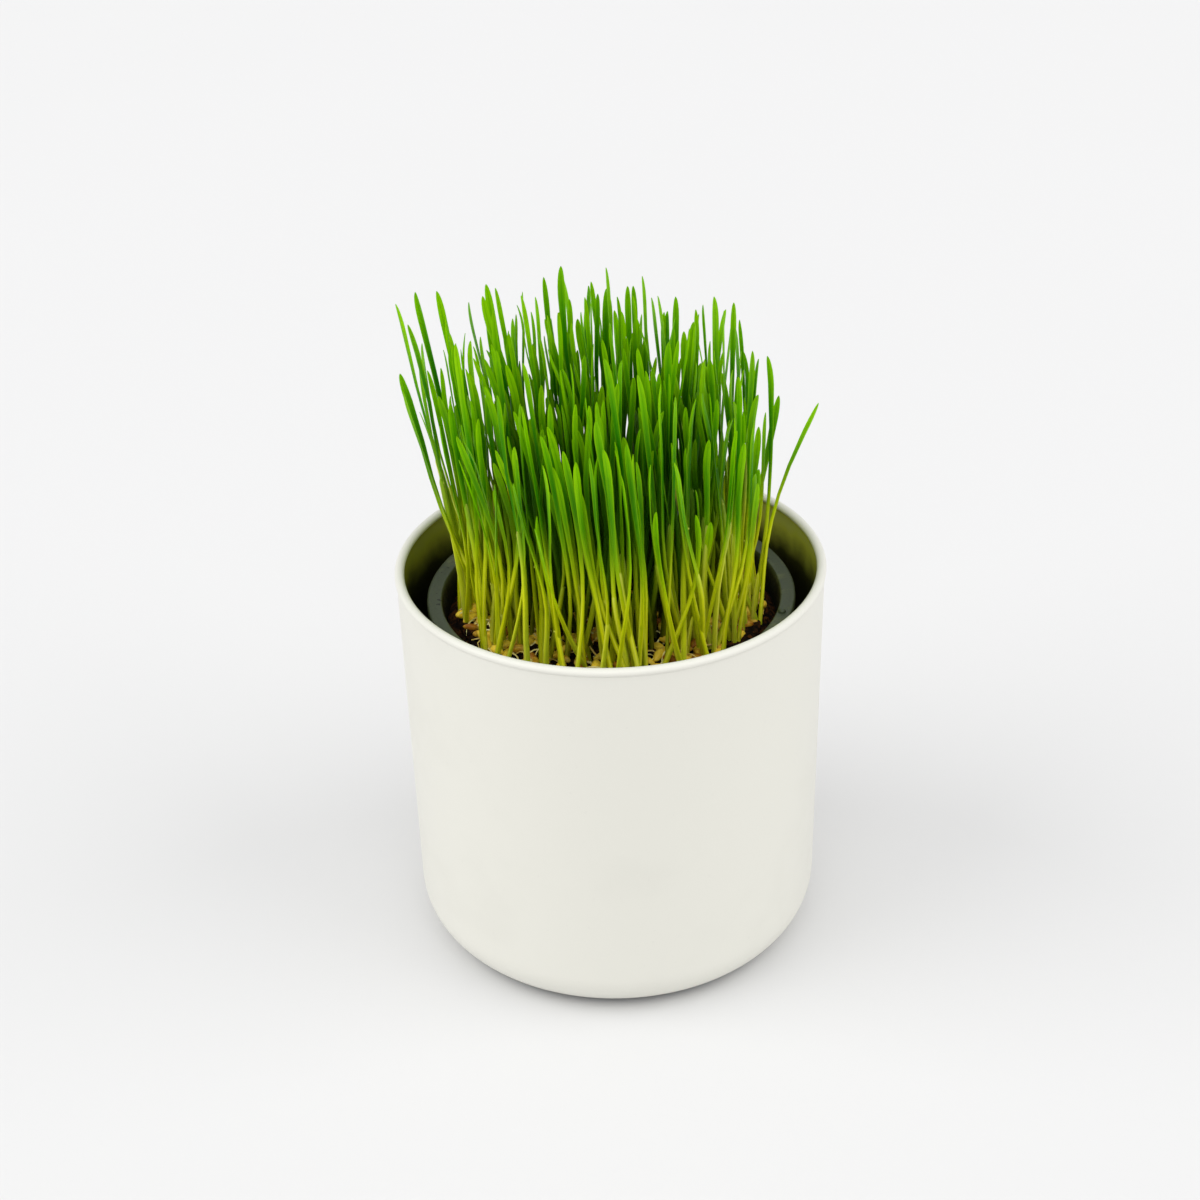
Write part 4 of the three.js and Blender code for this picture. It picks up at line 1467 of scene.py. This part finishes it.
class WHEATGRASS_OT_beds(bpy.types.Operator):
    """Make each clump's root mat with its grains, rootlets and crumbs"""

    bl_idname = "wheatgrass.beds"
    bl_label = "Root Mats and Grains"

    def execute(self, context):
        t = context.scene.wheatgrass_turf
        outlines, blades, solid_grains = grown_turf()
        soil_skin = potting_soil(context.scene.wheatgrass_soil)
        grain = model_grain(grain_skin(t))
        crumb = model_crumb(soil_skin)
        rootlet = RodShape("rootlet", ROD_SIDES["rootlet"], ROOTLET["rings"], rootlet_skin(t))
        lumps = bpy.data.textures.new("mat_lumps", "CLOUDS")
        lumps.noise_scale = MAT_RELIEF["lump"] * MM
        for clump, node in enumerate(turf_nodes):
            rng = random.Random(SEED + clump)
            outline = outlines[clump]
            feet = [blade.foot for blade in blades if blade.clump == clump]
            grains = bed_grains(outline, feet, solid_grains[clump], t.grains, rng)
            parts = [mat_patch(node, outline, soil_skin, lumps)]
            parts += [grain_copy(grain, lying, rng) for lying in grains]
            for _ in range(t.rootlets):
                start = rng.choice(grains)[:2] + random_shift(ROOTLET_RISE["from_grain"], rng)
                parts.append(rootlet_copy(rootlet, start, rng))
            for _ in range(t.crumbs):
                spot = spot_in(outline, rng)
                if depth_inside(outline, spot) > MAT_RELIEF["crumb_edge"]:
                    height = MAT_TOP + rng.uniform(*MAT_RELIEF["crumb_rise"])
                    parts.append(crumb_copy(crumb, (*spot, height), rng))
            piece = join_into(node + "_bed", parts)
            smooth(piece, SHARP["beds"])
            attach(piece, "root")
            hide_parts(node)
        for shape in (grain, crumb, rootlet.piece):
            bpy.data.objects.remove(shape)
        return {"FINISHED"}


class WHEATGRASS_OT_shoots(bpy.types.Operator):
    """Make each clump's leaves, sheaths, dew and late shoots"""

    bl_idname = "wheatgrass.shoots"
    bl_label = "Shoots"

    def execute(self, context):
        t = context.scene.wheatgrass_turf
        outlines, blades, _ = grown_turf()
        skin = leaf_skin(t)
        sides = ROD_SIDES["shoot"]
        leaf = RodShape("leaf", sides, 1 + len(LEAF_SHARES) + len(TIP_DROPS), skin, LEAF_TURNED)
        sheath = RodShape("sheath", sides, len(SHEATH_RINGS), skin)
        spike = RodShape("spike", sides, len(SPIKE_RINGS), skin)
        bead = model_bead(skin)
        for clump, node in enumerate(turf_nodes):
            rng = random.Random(SHOOTS_SEED + clump)
            dew = random.Random(DEW_SEED + clump)
            parts = []
            grown = [blade for blade in blades if blade.clump == clump]
            own = grown + added_blades(outlines[clump], grown, t.added, rng)
            for blade in own:
                course = Course(blade, rng)
                tint = rng.random()
                sheathed = blade in grown and rng.random() < t.sheathed
                girth = GIRTH["alone"] if blade in grown and not sheathed else GIRTH["slim"]
                parts.append(leaf_copy(leaf, course, girth, tint, rng, t))
                if sheathed:
                    height = rng.uniform(t.sheath_low, t.sheath_high) / MM
                    parts.append(sheath_copy(sheath, course, height, tint, rng))
                    if dew.random() < BEAD["share"]:
                        parts.append(bead_copy(bead, course, height, dew))
            parts += spike_copies(spike, outlines[clump], [blade.foot for blade in own], t.spikes, rng)
            piece = join_into(node + "_shoots", parts)
            smooth(piece, SHARP["shoots"])
            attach(piece, "root")
            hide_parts(node)
        for shape in (leaf.piece, sheath.piece, spike.piece, bead):
            bpy.data.objects.remove(shape)
        return {"FINISHED"}


class WHEATGRASS_OT_stage(bpy.types.Operator):
    """Set up the floor, the light and the camera"""

    bl_idname = "wheatgrass.stage"
    bl_label = "Stage"

    def execute(self, context):
        s = context.scene.wheatgrass_stage
        deselect()
        middle = (0, 0, -FLOOR["drop"])
        bpy.ops.mesh.primitive_circle_add(
            vertices=FLOOR["sides"], radius=FLOOR["radius"], fill_type="NGON", location=middle
        )
        floor = context.object
        floor.name = "floor"
        floor.data.materials.append(floor_paper(s))
        bpy.ops.object.transform_apply(location=True, rotation=False, scale=False)
        world = bpy.data.worlds.new("soft_light")
        world.use_nodes = True
        background = world.node_tree.nodes["Background"]
        background.inputs["Color"].default_value = (*s.sky, 1.0)
        background.inputs["Strength"].default_value = s.sky_strength
        context.scene.world = world
        for side, place in KEYS.items():
            bpy.ops.object.light_add(type="SUN", location=place)
            key = context.object
            key.name = side + "_key"
            key.data.energy = getattr(s, side + "_strength")
            key.data.angle = s.key_width
            key.rotation_euler = Vector(place).to_track_quat("Z", "Y").to_euler()
        bpy.ops.object.camera_add(location=CAMERA_PLACE)
        camera = context.object
        camera.name = "photo_camera"
        camera.data.lens = CAMERA["lens"]
        camera.data.sensor_width = CAMERA["sensor"]
        stance = Matrix.Translation(CAMERA_PLACE)
        for degrees, axis in CAMERA_ANGLES:
            stance = stance @ Matrix.Rotation(math.radians(degrees), 4, axis)
        camera.matrix_world = stance
        context.scene.camera = camera
        context.scene.view_settings.view_transform = "Standard"
        return {"FINISHED"}


STEPS = [
    WHEATGRASS_OT_stage,
    WHEATGRASS_OT_cover_pot,
    WHEATGRASS_OT_nursery_pot,
    WHEATGRASS_OT_soil,
    WHEATGRASS_OT_beds,
    WHEATGRASS_OT_shoots,
]
SETTINGS = {
    "wheatgrass_cover": CoverPotSettings,
    "wheatgrass_nursery": NurseryPotSettings,
    "wheatgrass_soil": SoilSettings,
    "wheatgrass_turf": TurfSettings,
    "wheatgrass_stage": StageSettings,
}


class WHEATGRASS_PT_panel(bpy.types.Panel):
    """The settings, each group in a box, over the buttons that use them"""

    bl_label = "Wheatgrass Pot"
    bl_space_type = "VIEW_3D"
    bl_region_type = "UI"
    bl_category = "Wheatgrass"

    def draw(self, context):
        for name, group in SETTINGS.items():
            box = self.layout.box()
            for setting in group.__annotations__:
                box.prop(getattr(context.scene, name), setting)
        for step in STEPS:
            self.layout.operator(step.bl_idname)


def register():
    for cls in (*SETTINGS.values(), *STEPS, WHEATGRASS_PT_panel):
        bpy.utils.register_class(cls)
    for name, group in SETTINGS.items():
        setattr(bpy.types.Scene, name, PointerProperty(type=group))


def unregister():
    for name in SETTINGS:
        delattr(bpy.types.Scene, name)
    for cls in (WHEATGRASS_PT_panel, *STEPS, *SETTINGS.values()):
        bpy.utils.unregister_class(cls)


def main():
    register()
    for step in STEPS:
        family, name = step.bl_idname.split(".")
        getattr(getattr(bpy.ops, family), name)()


if __name__ == "__main__":
    main()
